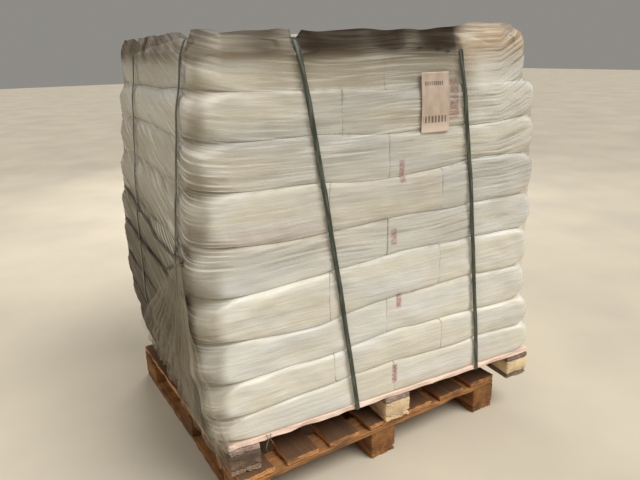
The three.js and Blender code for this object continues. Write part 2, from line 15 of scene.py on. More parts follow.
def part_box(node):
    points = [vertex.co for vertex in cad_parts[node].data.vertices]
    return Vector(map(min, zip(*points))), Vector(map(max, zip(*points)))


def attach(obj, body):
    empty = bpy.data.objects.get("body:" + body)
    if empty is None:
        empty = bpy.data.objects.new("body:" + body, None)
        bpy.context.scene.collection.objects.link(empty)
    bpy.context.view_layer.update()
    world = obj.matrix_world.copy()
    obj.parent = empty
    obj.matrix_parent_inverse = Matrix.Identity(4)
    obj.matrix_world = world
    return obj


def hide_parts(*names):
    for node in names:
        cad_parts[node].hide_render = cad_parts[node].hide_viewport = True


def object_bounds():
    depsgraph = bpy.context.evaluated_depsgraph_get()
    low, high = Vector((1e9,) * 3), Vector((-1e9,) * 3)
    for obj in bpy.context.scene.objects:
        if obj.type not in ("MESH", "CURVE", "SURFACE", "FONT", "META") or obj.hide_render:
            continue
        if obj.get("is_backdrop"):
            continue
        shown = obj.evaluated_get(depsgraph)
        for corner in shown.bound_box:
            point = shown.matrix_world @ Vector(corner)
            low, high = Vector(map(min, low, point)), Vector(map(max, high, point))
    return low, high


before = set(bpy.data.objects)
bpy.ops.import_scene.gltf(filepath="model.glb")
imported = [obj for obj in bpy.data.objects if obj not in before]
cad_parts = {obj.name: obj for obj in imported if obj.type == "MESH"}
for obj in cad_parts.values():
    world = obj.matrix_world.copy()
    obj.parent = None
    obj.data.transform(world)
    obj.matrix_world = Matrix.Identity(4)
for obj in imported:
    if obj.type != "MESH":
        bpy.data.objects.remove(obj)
CAD_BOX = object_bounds()

log = logging.getLogger("pallet")
MM = 0.001
Array = np.ndarray
Table = tuple[tuple[float, float], ...]

# Heights of the seams between the layers above the deck, in millimetres, from the lowest up. Each row is
# read along the front from left to right at SEAM_STATIONS; the back has it from right to left.
SEAM_STATIONS = (0.0, 0.26, 0.5, 0.74, 1.0)
SEAM_HEIGHTS = (
    (0, 0, 0, 0, 0),
    (80, 100, 115, 110, 115),
    (190, 200, 225, 215, 220),
    (320, 315, 345, 355, 345),
    (455, 465, 495, 490, 485),
    (595, 595, 600, 615, 605),
    (750, 735, 730, 755, 750),
    (880, 865, 860, 860, 880),
    (1005, 995, 985, 985, 990),
    (1105, 1105, 1105, 1105, 1105),
)
LAYERS = len(SEAM_HEIGHTS) - 1
STACK_TOP = 1105


class Grain(Enum):
    """The way a board's grain runs, as a turn of the pattern about Z in degrees."""

    ALONG_X = 0.0
    ALONG_Y = 90.0
    TURNED_X = 4.0
    TURNED_Y = 94.0


class Crossing(Enum):
    """The side of the stack that a strap crosses."""

    FRONT = "front"
    SIDE = "side"


@dataclass(frozen=True)
class StrapLine:
    """A strap's place: millimetres from the deck's middle at deck height, and its lean per height."""

    name: str
    crossing: Crossing
    foot: float
    lean: float


STRAP_LINES = (
    StrapLine("strap_front_left", Crossing.FRONT, -163, -0.141),
    StrapLine("strap_front_right", Crossing.FRONT, 340, -0.107),
    StrapLine("strap_side_front", Crossing.SIDE, -300, -0.09),
    StrapLine("strap_side_back", Crossing.SIDE, 140, 0.06),
)


# Shared helpers


def linear(hex_colour: str) -> tuple[float, float, float, float]:
    """Turns an sRGB hex colour to linear light.

    Args:
        hex_colour: The colour as #rrggbb.

    Returns:
        Red, green, blue and an alpha of one.
    """
    channels = np.array([int(hex_colour[i : i + 2], 16) for i in (1, 3, 5)]) / 255
    light = np.where(channels <= 0.04045, channels / 12.92, ((channels + 0.055) / 1.055) ** 2.4)
    return (*light.tolist(), 1.0)


def smooth(low: float, high: float, values: Array) -> Array:
    """The smooth step from 0 at low to 1 at high: 3t^2 - 2t^3 of the clamped fraction t."""
    t = np.clip((np.asarray(values) - low) / (high - low), 0.0, 1.0)
    return t * t * (3 - 2 * t)


def lerp(a: Array, b: Array, t: Array) -> Array:
    """The straight mix of a and b, a at t 0 and b at t 1."""
    return a + (b - a) * t


def read_off(table: Table, places: Array) -> Array:
    """Values at places, on straight lines between the table's (place, value) pairs."""
    return np.interp(places, *zip(*table))


def ripple(points: Array, wavelength: float, seed: int, waves: int = 9) -> Array:
    """A smooth random field: the mean of sine waves in random directions with random phases.

    Args:
        points: Places, with their coordinates along the last axis, in metres.
        wavelength: The typical distance between crests, in metres.
        seed: Picks the directions and phases.
        waves: How many sine waves are added.

    Returns:
        One value a place, mostly between -1 and 1.
    """
    rng = np.random.default_rng(seed)
    directions = rng.normal(size=(waves, points.shape[-1]))
    directions /= np.linalg.norm(directions, axis=1, keepdims=True)
    directions *= (2 * math.pi / wavelength) * rng.uniform(0.6, 1.7, size=(waves, 1))
    phases = rng.uniform(0, 2 * math.pi, size=waves)
    return np.sin(points @ directions.T + phases).sum(axis=-1) / math.sqrt(waves)


def grid_faces(rows: int, columns: int, ring: bool, start: int = 0) -> Array:
    """Quads of a grid of points, row after row, facing outwards where the columns run anticlockwise.

    Args:
        rows: How many rows of points there are.
        columns: How many points a row has.
        ring: Whether the last column joins the first.
        start: The first point's number.

    Returns:
        Four point numbers a face.
    """
    index = np.arange(rows * columns).reshape(rows, columns) + start
    after = np.roll(index, -1, axis=1)
    quads = np.stack([index[:-1], after[:-1], after[1:], index[1:]], axis=-1)
    if not ring:
        quads = quads[:, :-1]
    return quads.reshape(-1, 4)


def ring_caps(rows: int, columns: int, start: int = 0) -> Array:
    """Triangles that close a tube of rings with two middle points that follow its last point.

    Args:
        rows: How many rings there are.
        columns: How many points a ring has.
        start: The first point's number.

    Returns:
        Three point numbers a face, the lower cap first.
    """
    first = np.arange(columns) + start
    last = first + (rows - 1) * columns
    low, high = start + rows * columns, start + rows * columns + 1
    lower = np.stack([np.roll(first, -1), first, np.full(columns, low)], axis=-1)
    upper = np.stack([last, np.roll(last, -1), np.full(columns, high)], axis=-1)
    return np.concatenate([lower, upper])


def closed_tube(rings: Array) -> tuple[Array, list[list[int]]]:
    """Closes a tube of rings with a middle point at each end.

    Args:
        rings: The rings of points, shape (rows, columns, 3).

    Returns:
        The points, and the faces as lists of point numbers.
    """
    rows, columns = rings.shape[:2]
    middles = np.stack([rings[0].mean(axis=0), rings[-1].mean(axis=0)])
    points = np.concatenate([rings.reshape(-1, 3), middles])
    faces = grid_faces(rows, columns, ring=True).tolist() + ring_caps(rows, columns).tolist()
    return points, faces


def joined(forms: list[tuple[Array, list[list[int]]]]) -> tuple[Array, list[list[int]]]:
    """Joins several forms to one.

    Args:
        forms: Each form's points and faces.

    Returns:
        The points and faces of all, in the same order.
    """
    all_faces, start = [], 0
    for points, faces in forms:
        all_faces += [[number + start for number in face] for face in faces]
        start += len(points)
    return np.concatenate([points for points, _ in forms]), all_faces


def new_object(name: str, data: bpy.types.ID) -> Object:
    """Puts a mesh, a light or a camera in the scene.

    Args:
        name: The object's name.
        data: Its mesh, light or camera.

    Returns:
        The new object.
    """
    made = bpy.data.objects.new(name, data)
    bpy.context.scene.collection.objects.link(made)
    return made


def add_piece(name: str, points: Array, faces: list, material: Material, slot: str, *nodes: str) -> Object:
    """Makes a mesh object at the origin that rides on the part.

    Args:
        name: The piece's name.
        points: Its points in metres, shape (n, 3).
        faces: Lists of point numbers.
        material: Its finish.
        slot: Not used.
        nodes: The CAD nodes that it stands for.

    Returns:
        The new object.
    """
    mesh = bpy.data.meshes.new(name)
    mesh.from_pydata(points.tolist(), [], faces)
    mesh.materials.append(material)
    mesh.shade_smooth()
    piece = new_object(name, mesh)
    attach(piece, "root")
    if nodes:
        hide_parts(*nodes)
    log.info("made %s", name)
    return piece


def set_flow(piece: Object, values: Array, once_round: tuple[float, float] | None = None) -> None:
    """Gives a piece the UV map flow from one (u, v) pair a point.

    Args:
        piece: The piece; all its faces are quads where once_round is given.
        values: The pairs, in metres.
        once_round: What u and v grow by once round a closed piece, added where the map starts again.
    """
    mesh = piece.data
    corners = np.empty(len(mesh.loops), dtype=np.int32)
    mesh.loops.foreach_get("vertex_index", corners)
    pairs = values[corners]
    if once_round is not None:
        quads = pairs.reshape(-1, 4, 2)
        behind = quads[:, :, :1].max(axis=1, keepdims=True) - quads[:, :, :1] > once_round[0] / 2
        pairs = (quads + behind * np.array(once_round)).reshape(-1, 2)
    layer = mesh.uv_layers.new(name="flow")
    layer.data.foreach_set("uv", pairs.astype(np.float32).ravel())


def set_tone(piece: Object, values: Array, name: str = "tone") -> None:
    """Gives a piece's points an attribute that its finish mixes its colours by."""
    attribute = piece.data.attributes.new(name, "FLOAT", "POINT")
    attribute.data.foreach_set("value", values.astype(np.float32))


# Finishes

Output = bpy.types.NodeSocket
Value = Output | float | str | tuple[float, ...]


class Kind(Enum):
    """A kind of node: its type, its inputs in the order of their values, its output or None, its options."""

    OBJECT_PLACE = "TexCoord", (), "Object", {}
    SURFACE_WAY = "NewGeometry", (), "Normal", {}
    FLOW = "UVMap", (), 0, {"uv_map": "flow"}
    ATTRIBUTE = "Attribute", (), "Fac", {}
    SPLIT = "SeparateXYZ", (0,), None, {}
    MAPPING = "Mapping", ("Vector", "Location", "Rotation", "Scale"), 0, {}
    NOISE = "TexNoise", ("Vector", "Scale", "Detail"), 0, {}
    CHECKER = "TexChecker", ("Vector", "Scale"), "Fac", {}
    RANGE = "MapRange", ("Value", "From Min", "From Max", "To Min", "To Max"), 0, {}
    RAMP = "ValToRGB", (0,), "Color", {}
    MIX = "Mix", (0, 6, 7), 2, {"data_type": "RGBA"}
    PLUS = "Math", (0, 1), 0, {"operation": "ADD"}
    MINUS = "Math", (0, 1), 0, {"operation": "SUBTRACT"}
    TIMES = "Math", (0, 1), 0, {"operation": "MULTIPLY"}
    LARGER = "Math", (0, 1), 0, {"operation": "MAXIMUM"}
    ABOVE = "Math", (0, 1), 0, {"operation": "GREATER_THAN"}
    BELOW = "Math", (0, 1), 0, {"operation": "LESS_THAN"}
    WITHOUT_SIGN = "Math", (0,), 0, {"operation": "ABSOLUTE"}
    FRACTION = "Math", (0,), 0, {"operation": "FRACT"}
    BUMP = "Bump", ("Strength", "Distance", "Height"), 0, {}
    SHADER = (
        "BsdfPrincipled", ("Base Color", "Roughness", "Normal", "Alpha", "Specular IOR Level", "IOR"), 0, {}
    )
    OUTPUT = "OutputMaterial", ("Surface",), None, {}


@dataclass
class Nodes:
    """A new material and its nodes."""

    name: str

    def __post_init__(self) -> None:
        """Makes the material, with no node yet."""
        self.material = bpy.data.materials.new(self.name)
        self.material.use_nodes = True
        self.tree = self.material.node_tree
        self.tree.nodes.clear()

    def add(
        self, kind: Kind, *values: Value, stops: tuple[tuple[float, str], ...] = (), **options: str
    ) -> Output | list[Output]:
        """Adds a node with its settings and links.

        Args:
            kind: The kind of node.
            values: What the inputs get: an output is linked, and a number, vector or hex colour is set.
            stops: A ramp's places from 0 to 1, each with its hex colour.
            options: The node's further options by name.

        Returns:
            The kind's output, or all of the node's outputs.
        """
        type_name, inputs, output, own_options = kind.value
        node = self.tree.nodes.new(f"ShaderNode{type_name}")
        for name, option in (own_options | options).items():
            setattr(node, name, option)
        for key, value in zip(inputs, values):
            if isinstance(value, Output):
                self.tree.links.new(value, node.inputs[key])
            else:
                node.inputs[key].default_value = linear(value) if isinstance(value, str) else value
        if stops:
            elements = node.color_ramp.elements
            while len(elements) < len(stops):
                elements.new(0.5)
            for element, (place, hex_colour) in zip(elements, stops):
                element.position = place
                element.color = linear(hex_colour)
        return node.outputs[:] if output is None else node.outputs[output]

    def blotches(
        self, vector: Output, sizes_mm: tuple[float, float, float], detail: float, seed: float = 0.0
    ) -> Output:
        """A noise pattern whose blotches have a real size along each axis of the vector.

        Args:
            vector: The output with coordinates in metres.
            sizes_mm: The blotch size along each axis, in millimetres.
            detail: How many finer layers are added.
            seed: Moves the pattern to another place.

        Returns:
            The pattern's output, mostly between 0.3 and 0.7.
        """
        scale = tuple(1 / (size * MM) for size in sizes_mm)
        placed = self.add(Kind.MAPPING, vector, (seed, seed * 0.7, seed * 1.3), (0, 0, 0), scale)
        return self.add(Kind.NOISE, placed, 1.0, detail)

    def finished(self, *values: Value) -> Material:
        """The material, once a Principled shader with these values feeds its output."""
        self.add(Kind.OUTPUT, self.add(Kind.SHADER, *values))
        return self.material


@dataclass(frozen=True)
class PrintMark:
    """A plain red bar printed on a sack's front: its middle above the deck's front left corner, in mm."""

    right: float
    up: float
    width: float
    height: float


@dataclass(frozen=True)
class SackFinish:
    """White multi-wall sack paper over granules: matt, a little dirty, creased along the sack."""

    name: str = "sack_paper"
    pale: str = "#dddacf"
    cool: str = "#d6d6d1"
    yellowed: str = "#dcd5c2"
    pinkish: str = "#dcd2ca"
    dirt: str = "#aaa192"
    ink: str = "#9c3f41"
    dust: str = "#9a9080"
    # A painted highlight: the pale colour mixed along the sacks' front upper edges, where the light catches
    # them.
    taut: str = "#faf7ee"
    roughness: float = 0.72
    marks: tuple[PrintMark, ...] = ()
    ink_soft_mm: float = 5.0
    origin: tuple[float, float, float] = (0.0, 0.0, 0.0)

    def build(self) -> Material:
        """Mixes broad tints by noise, darkens by fine dirt, paints a highlight along the fronts' upper edges,
        prints the marks and creases the surface.

        Returns:
            The new material.
        """
        nodes = Nodes(self.name)
        add = nodes.add
        place = add(Kind.OBJECT_PLACE)
        parts = add(Kind.SPLIT, place)
        tone = add(Kind.ATTRIBUTE, attribute_name="tone")
        painted_rim_highlight = add(Kind.ATTRIBUTE, attribute_name="painted_rim_highlight")
        broad = nodes.blotches(place, (420, 420, 90), 2.0)
        tints = (
            (0.3, self.cool), (0.45, self.pale), (0.58, self.yellowed), (0.68, self.pale), (0.8, self.pinkish)
        )
        colour = add(Kind.RAMP, add(Kind.PLUS, broad, tone), stops=tints)
        streaks = nodes.blotches(place, (260, 260, 14), 3.0, seed=4.0)
        colour = add(Kind.MIX, add(Kind.RANGE, streaks, 0.52, 0.75, 0.0, 0.1), colour, self.dirt)
        # Painted highlight along the fronts' upper edges, where the light catches the sacks' rounded tops.
        colour = add(Kind.MIX, add(Kind.TIMES, painted_rim_highlight, 0.85), colour, self.taut)
        stack_top = self.origin[2] + STACK_TOP * MM
        dusty = add(Kind.RANGE, parts[2], stack_top - 40 * MM, stack_top - 8 * MM, 0.0, 0.85)
        colour = add(Kind.MIX, dusty, colour, self.dust)
        colour = add(Kind.MIX, self.inked(nodes, place, parts), colour, self.ink)
        creases = nodes.blotches(place, (190, 190, 13), 4.0, seed=9.0)
        return nodes.finished(colour, self.roughness, add(Kind.BUMP, 0.5, 6 * MM, creases))

    def inked(self, nodes: Nodes, place: Output, parts: list[Output]) -> Output:
        """How inked the front is: a mark's strength falls off over ink_soft_mm past its edges.

        Args:
            nodes: The material's nodes.
            place: The place on the object.
            parts: The same place along X, Y and Z.

        Returns:
            The ink's share, from none to one.
        """
        add = nodes.add
        across, deep, up = parts
        total = 0.0
        for mark in self.marks:
            sides = []
            for part, middle, size in (
                (across, self.origin[0] + mark.right * MM, mark.width),
                (up, self.origin[2] + mark.up * MM, mark.height),
            ):
                away = add(Kind.WITHOUT_SIGN, add(Kind.MINUS, part, middle))
                inner = size / 2 * MM
                sides.append(add(Kind.RANGE, away, inner, inner + self.ink_soft_mm * MM, 1.0, 0.0))
            total = add(Kind.LARGER, add(Kind.TIMES, *sides), total)
        front = add(Kind.RANGE, deep, self.origin[1] + 0.1, self.origin[1] + 0.12, 1.0, 0.0)
        speckle = nodes.blotches(place, (7, 7, 5), 1.0, seed=2.0)
        cover = add(Kind.TIMES, front, add(Kind.RANGE, speckle, 0.3, 0.6, 0.25, 0.8))
        return add(Kind.TIMES, total, cover)


@dataclass(frozen=True)
class FilmFinish:
    """Cast LLDPE stretch film, stretched by hand: clear and glossy, milky where it wrinkles or doubles.

    The thickness attribute tone runs from one clear turn to many dusty ones, and at its top to painted deep
    shade;
    pull says how hard the film is stretched into streaks. A valley between two wrinkles is painted with
    shade, and a ridge, where the film is milky, is painted with a highlight where it catches the light.
    """

    name: str
    clear: str = "#d3cfc4"
    milky: str = "#a69e8d"
    thick: str = "#7c6f58"
    # Painted deep shade: the darkest stop of the tone ramp, reached in the standing edge and along the fold
    # line.
    folded: str = "#2b1e0e"
    # A painted highlight on the wrinkles' ridges, over film that is milky there.
    ridge_highlight: str = "#ece8dc"
    ridge_share: float = 0.7
    # Painted shade in the valleys between wrinkles.
    valley_shade: str = "#7f7561"
    valley_alpha: float = 0.5
    tan: str = "#c8ad8a"
    clear_alpha: float = 0.1
    wrinkle_alpha: float = 0.62
    roughness: float = 0.27
    dusty_roughness: float = 0.95
    specular: float = 0.32
    ior: float = 1.5
    bump_mm: float = 3.0

    def build(self) -> Material:
        """Wrinkles follow the flow map: long along the film's pull and 5 to 30 mm apart across it.

        Returns:
            The new material.
        """
        nodes = Nodes(self.name)
        add = nodes.add
        flow = add(Kind.FLOW)
        tone, pull, tan = [add(Kind.ATTRIBUTE, attribute_name=name) for name in ("tone", "pull", "tan")]
        fine = nodes.blotches(flow, (230, 8, 100), 2.0)
        folds = nodes.blotches(flow, (380, 19, 100), 2.0, seed=5.0)
        patches = nodes.blotches(flow, (230, 120, 100), 2.0, seed=8.0)
        patchy = add(Kind.TIMES, add(Kind.RANGE, patches, 0.38, 0.62, 0.35, 1.0), pull)
        ridges = add(Kind.TIMES, add(Kind.RANGE, fine, 0.51, 0.6, 0.0, 1.0), patchy)
        valleys = add(Kind.TIMES, add(Kind.RANGE, fine, 0.4, 0.49, 1.0, 0.0), patchy)
        gentle = add(Kind.RANGE, pull, 0.1, 0.4, 0.3, 1.0)
        creases = add(Kind.TIMES, add(Kind.RANGE, folds, 0.56, 0.7, 0.0, 0.7), gentle)
        wrinkled = add(Kind.LARGER, ridges, creases)
        wrinkled = add(Kind.TIMES, wrinkled, add(Kind.RANGE, tone, 0.08, 0.4, 0.62, 1.0))

        hazy = add(Kind.RANGE, wrinkled, 0.0, 1.0, self.clear_alpha, self.wrinkle_alpha)
        alpha = add(Kind.LARGER, add(Kind.LARGER, hazy, tone), add(Kind.TIMES, valleys, self.valley_alpha))
        # The top stop is painted deep shade.
        tones = ((0.1, self.clear), (0.36, self.milky), (0.64, self.thick), (0.95, self.folded))
        colour = add(Kind.MIX, tan, add(Kind.RAMP, tone, stops=tones), self.tan)
        # Painted shade in the valleys, then a painted highlight on the ridges.
        valley_shade_share = add(Kind.TIMES, valleys, add(Kind.RANGE, tone, 0.5, 0.8, 0.6, 0.0))
        colour = add(Kind.MIX, valley_shade_share, colour, self.valley_shade)
        ridge_highlight_share = add(Kind.TIMES, wrinkled, add(Kind.RANGE, tone, 0.6, 0.95, self.ridge_share, 0.05))
        ridge_highlight_share = add(Kind.TIMES, ridge_highlight_share, add(Kind.RANGE, tan, 0.0, 1.0, 1.0, 0.5))
        colour = add(Kind.MIX, ridge_highlight_share, colour, self.ridge_highlight)
        roughness = add(Kind.RANGE, tone, 0.6, 0.95, self.roughness, self.dusty_roughness)
        height = add(Kind.TIMES, add(Kind.PLUS, add(Kind.TIMES, fine, 0.4), folds), gentle)
        bump = add(Kind.BUMP, 1.0, self.bump_mm * MM, height)
        return nodes.finished(colour, roughness, bump, alpha, self.specular, self.ior)


@dataclass(frozen=True)
class StrapFinish:
    """Extruded PET strapping: dark green, embossed with small lozenges, scuffed paler along its edges."""

    name: str = "pet_strapping"
    colour: str = "#2a3429"
    scuffed: str = "#716f5f"
    roughness: float = 0.38
    emboss_mm: float = 3.2

    def build(self) -> Material:
        """The lozenges are drawn at their real pitch, and dust lies on the strap in patches.

        Returns:
            The new material.
        """
        nodes = Nodes(self.name)
        add = nodes.add
        along = add(Kind.FLOW)
        dust = nodes.blotches(along, (60, 6, 10), 3.0)
        colour = add(Kind.MIX, add(Kind.RANGE, dust, 0.45, 0.72, 0.0, 0.75), self.colour, self.scuffed)
        scale = 1 / (self.emboss_mm * MM)
        turned = add(Kind.MAPPING, along, (0, 0, 0), (0, 0, math.radians(45)), (scale, scale, scale))
        bump = add(Kind.BUMP, 0.5, 0.3 * MM, add(Kind.CHECKER, turned, 1.0))
        return nodes.finished(colour, self.roughness, bump)


@dataclass(frozen=True)
class BarRow:
    """A row of plain bars, in shares of the label's height and width, and a bar's share of its step."""

    low: float
    high: float
    left: float
    right: float
    bars: int
    bar_share: float


@dataclass(frozen=True)
class LabelFinish:
    """Uncoated tan label paper with two rows of plain dark bars, a little creased, and a painted sheen
    towards its lower edge.
    """

    name: str = "label_paper"
    paper: str = "#ab9785"
    faded: str = "#bba896"
    # A painted sheen: the label is lighter towards its lower edge.
    painted_sheen: str = "#d8c5b3"
    ink: str = "#4c3b35"
    roughness: float = 0.5
    rows: tuple[BarRow, ...] = (
        BarRow(0.785, 0.85, 0.14, 0.8, 9, 0.62),
        BarRow(0.17, 0.285, 0.06, 0.88, 7, 0.6),
    )

    def build(self) -> Material:
        """The map flow runs from 0 to 1 across and up the label; each row of bars is a band of it.

        Returns:
            The new material.
        """
        nodes = Nodes(self.name)
        add = nodes.add
        place = add(Kind.FLOW)
        across, up, _ = add(Kind.SPLIT, place)
        blotches = add(Kind.NOISE, place, 4.0, 3.0)
        paper = add(Kind.MIX, add(Kind.RANGE, blotches, 0.35, 0.65, 0.0, 1.0), self.paper, self.faded)
        # Painted sheen towards the label's lower edge.
        paper = add(Kind.MIX, add(Kind.RANGE, up, 0.06, 0.24, 0.8, 0.0), paper, self.painted_sheen)
        total = 0.0
        for row in self.rows:
            band = add(Kind.TIMES, add(Kind.ABOVE, up, row.low), add(Kind.BELOW, up, row.high))
            span = add(Kind.TIMES, add(Kind.ABOVE, across, row.left), add(Kind.BELOW, across, row.right))
            step = add(Kind.FRACTION, add(Kind.TIMES, across, row.bars / (row.right - row.left)))
            bar = add(Kind.TIMES, add(Kind.TIMES, band, span), add(Kind.BELOW, step, row.bar_share))
            total = add(Kind.LARGER, bar, total)
        worn = add(Kind.TIMES, total, add(Kind.RANGE, blotches, 0.3, 0.7, 0.95, 0.55))
        return nodes.finished(add(Kind.MIX, worn, paper, self.ink), self.roughness)


@dataclass(frozen=True)
class WoodFinish:
    """Rough-sawn spruce that has weathered outdoors: grain along the board, saw marks across it, dirt."""

    name: str
    grain: Grain
    light: str
    dark: str
    dirt: str
    dirt_share: float = 0.6
    top_shade: float = 0.0
    roughness: float = 0.86
    grain_mm: float = 5.0
    saw_mm: float = 6.0

    def build(self) -> Material:
        """Each board's attribute tone moves it along the ramp, and upward faces can be darkened to the dirt
        colour as painted shade.

        Returns:
            The new material.
        """
        nodes = Nodes(self.name)
        add = nodes.add
        place = add(Kind.OBJECT_PLACE)
        tone = add(Kind.ATTRIBUTE, attribute_name="tone")
        turn = add(Kind.MAPPING, place, (0, 0, 0), (0, 0, -math.radians(self.grain.value)))
        fibres = nodes.blotches(turn, (220, self.grain_mm, self.grain_mm), 4.0)
        bands = nodes.blotches(turn, (500, 26, 26), 3.0, seed=3.0)
        value = add(Kind.PLUS, add(Kind.TIMES, fibres, 0.55), add(Kind.TIMES, bands, 0.45))
        wood = add(Kind.RAMP, add(Kind.PLUS, value, tone), stops=((0.34, self.dark), (0.66, self.light)))
        stains = nodes.blotches(place, (70, 70, 30), 4.0, seed=7.0)
        cover = add(Kind.RANGE, stains, 0.42, 0.68, 0.0, self.dirt_share)
        upwards = add(Kind.SPLIT, add(Kind.SURFACE_WAY))[2]
        # Painted shade: upward faces are darkened towards the dirt colour.
        cover = add(Kind.LARGER, cover, add(Kind.RANGE, upwards, 0.5, 0.9, 0.0, self.top_shade))
        saw = nodes.blotches(turn, (self.saw_mm, 80, 80), 2.0, seed=6.0)
        height = add(Kind.PLUS, fibres, add(Kind.TIMES, saw, 0.5))
        bump = add(Kind.BUMP, 0.9, 2.5 * MM, height)
        return nodes.finished(add(Kind.MIX, cover, wood, self.dirt), self.roughness, bump)


@dataclass(frozen=True)
class FloorFinish:
    """Matt floor paint in two close pale tints, clouded as trowelled concrete is."""

    name: str = "pale_floor_paint"
    dark: str = "#bdb3a1"
    light: str = "#c9bea9"
    roughness: float = 0.7

    def build(self) -> Material:
        """The clouds are about 700 mm across.

        Returns:
            The new material.
        """
        nodes = Nodes(self.name)
        clouds = nodes.blotches(nodes.add(Kind.OBJECT_PLACE), (700, 700, 700), 5.0)
        colour = nodes.add(Kind.RAMP, clouds, stops=((0.35, self.dark), (0.65, self.light)))
        return nodes.finished(colour, self.roughness)


# The stack


@dataclass(frozen=True)
class Deck:
    """The upper pallet's deck, which the stack is measured from, in metres."""

    left: float
    right: float
    front: float
    back: float
    top: float

    @classmethod
    def from_frame(cls) -> "Deck":
        """Reads the deck's edges from its first and last boards."""
        low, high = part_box("upper_deck_board_1")
        return cls(low[0], high[0], low[1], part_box("upper_deck_board_7")[1][1], high[2])

    @property
    def middle(self) -> tuple[float, float]:
        """The deck's middle along X and Y."""
        return (self.left + self.right) / 2, (self.front + self.back) / 2

    def strap_place(self, line: StrapLine, z: Array | float) -> Array | float:
        """Where a strap lies along X (or Y for a side strap) at height z."""
        middle = self.middle[0] if line.crossing is Crossing.FRONT else self.middle[1]
        return middle + line.foot * MM + line.lean * (z - self.top)


@dataclass(frozen=True)
class SackShape:
    """How a filled sack swells between its seams, in metres.

    A swell is a superellipse; the higher its power, the flatter the side and the narrower the seam. Corners
    that stand free are rounder than those where sacks meet, and all are rounder at the seams.
    """

    side_power: float = 2.7
    front_power: float = 4.5
    seam_inset: float = 26 * MM
    front_seam_inset: float = 13 * MM
    shoulder_inset: float = 58 * MM
    free_radius: tuple[float, float] = (165 * MM, 46 * MM)
    free_power: float = 1.9
    right_radius: tuple[float, float] = (105 * MM, 38 * MM)
    right_power: float = 2.5
    met_radius: tuple[float, float] = (5 * MM, 1.8 * MM)
    meet_gap: float = 0.25 * MM
    lump: float = 2.4 * MM
    crown: float = 36 * MM

    @staticmethod
    def swell(h: Array, power: float) -> Array:
        """The share of the full reach at the share h of the height: (1 - |2h - 1|^p)^(1/p)."""
        return (1 - np.abs(2 * h - 1) ** power) ** (1 / power)


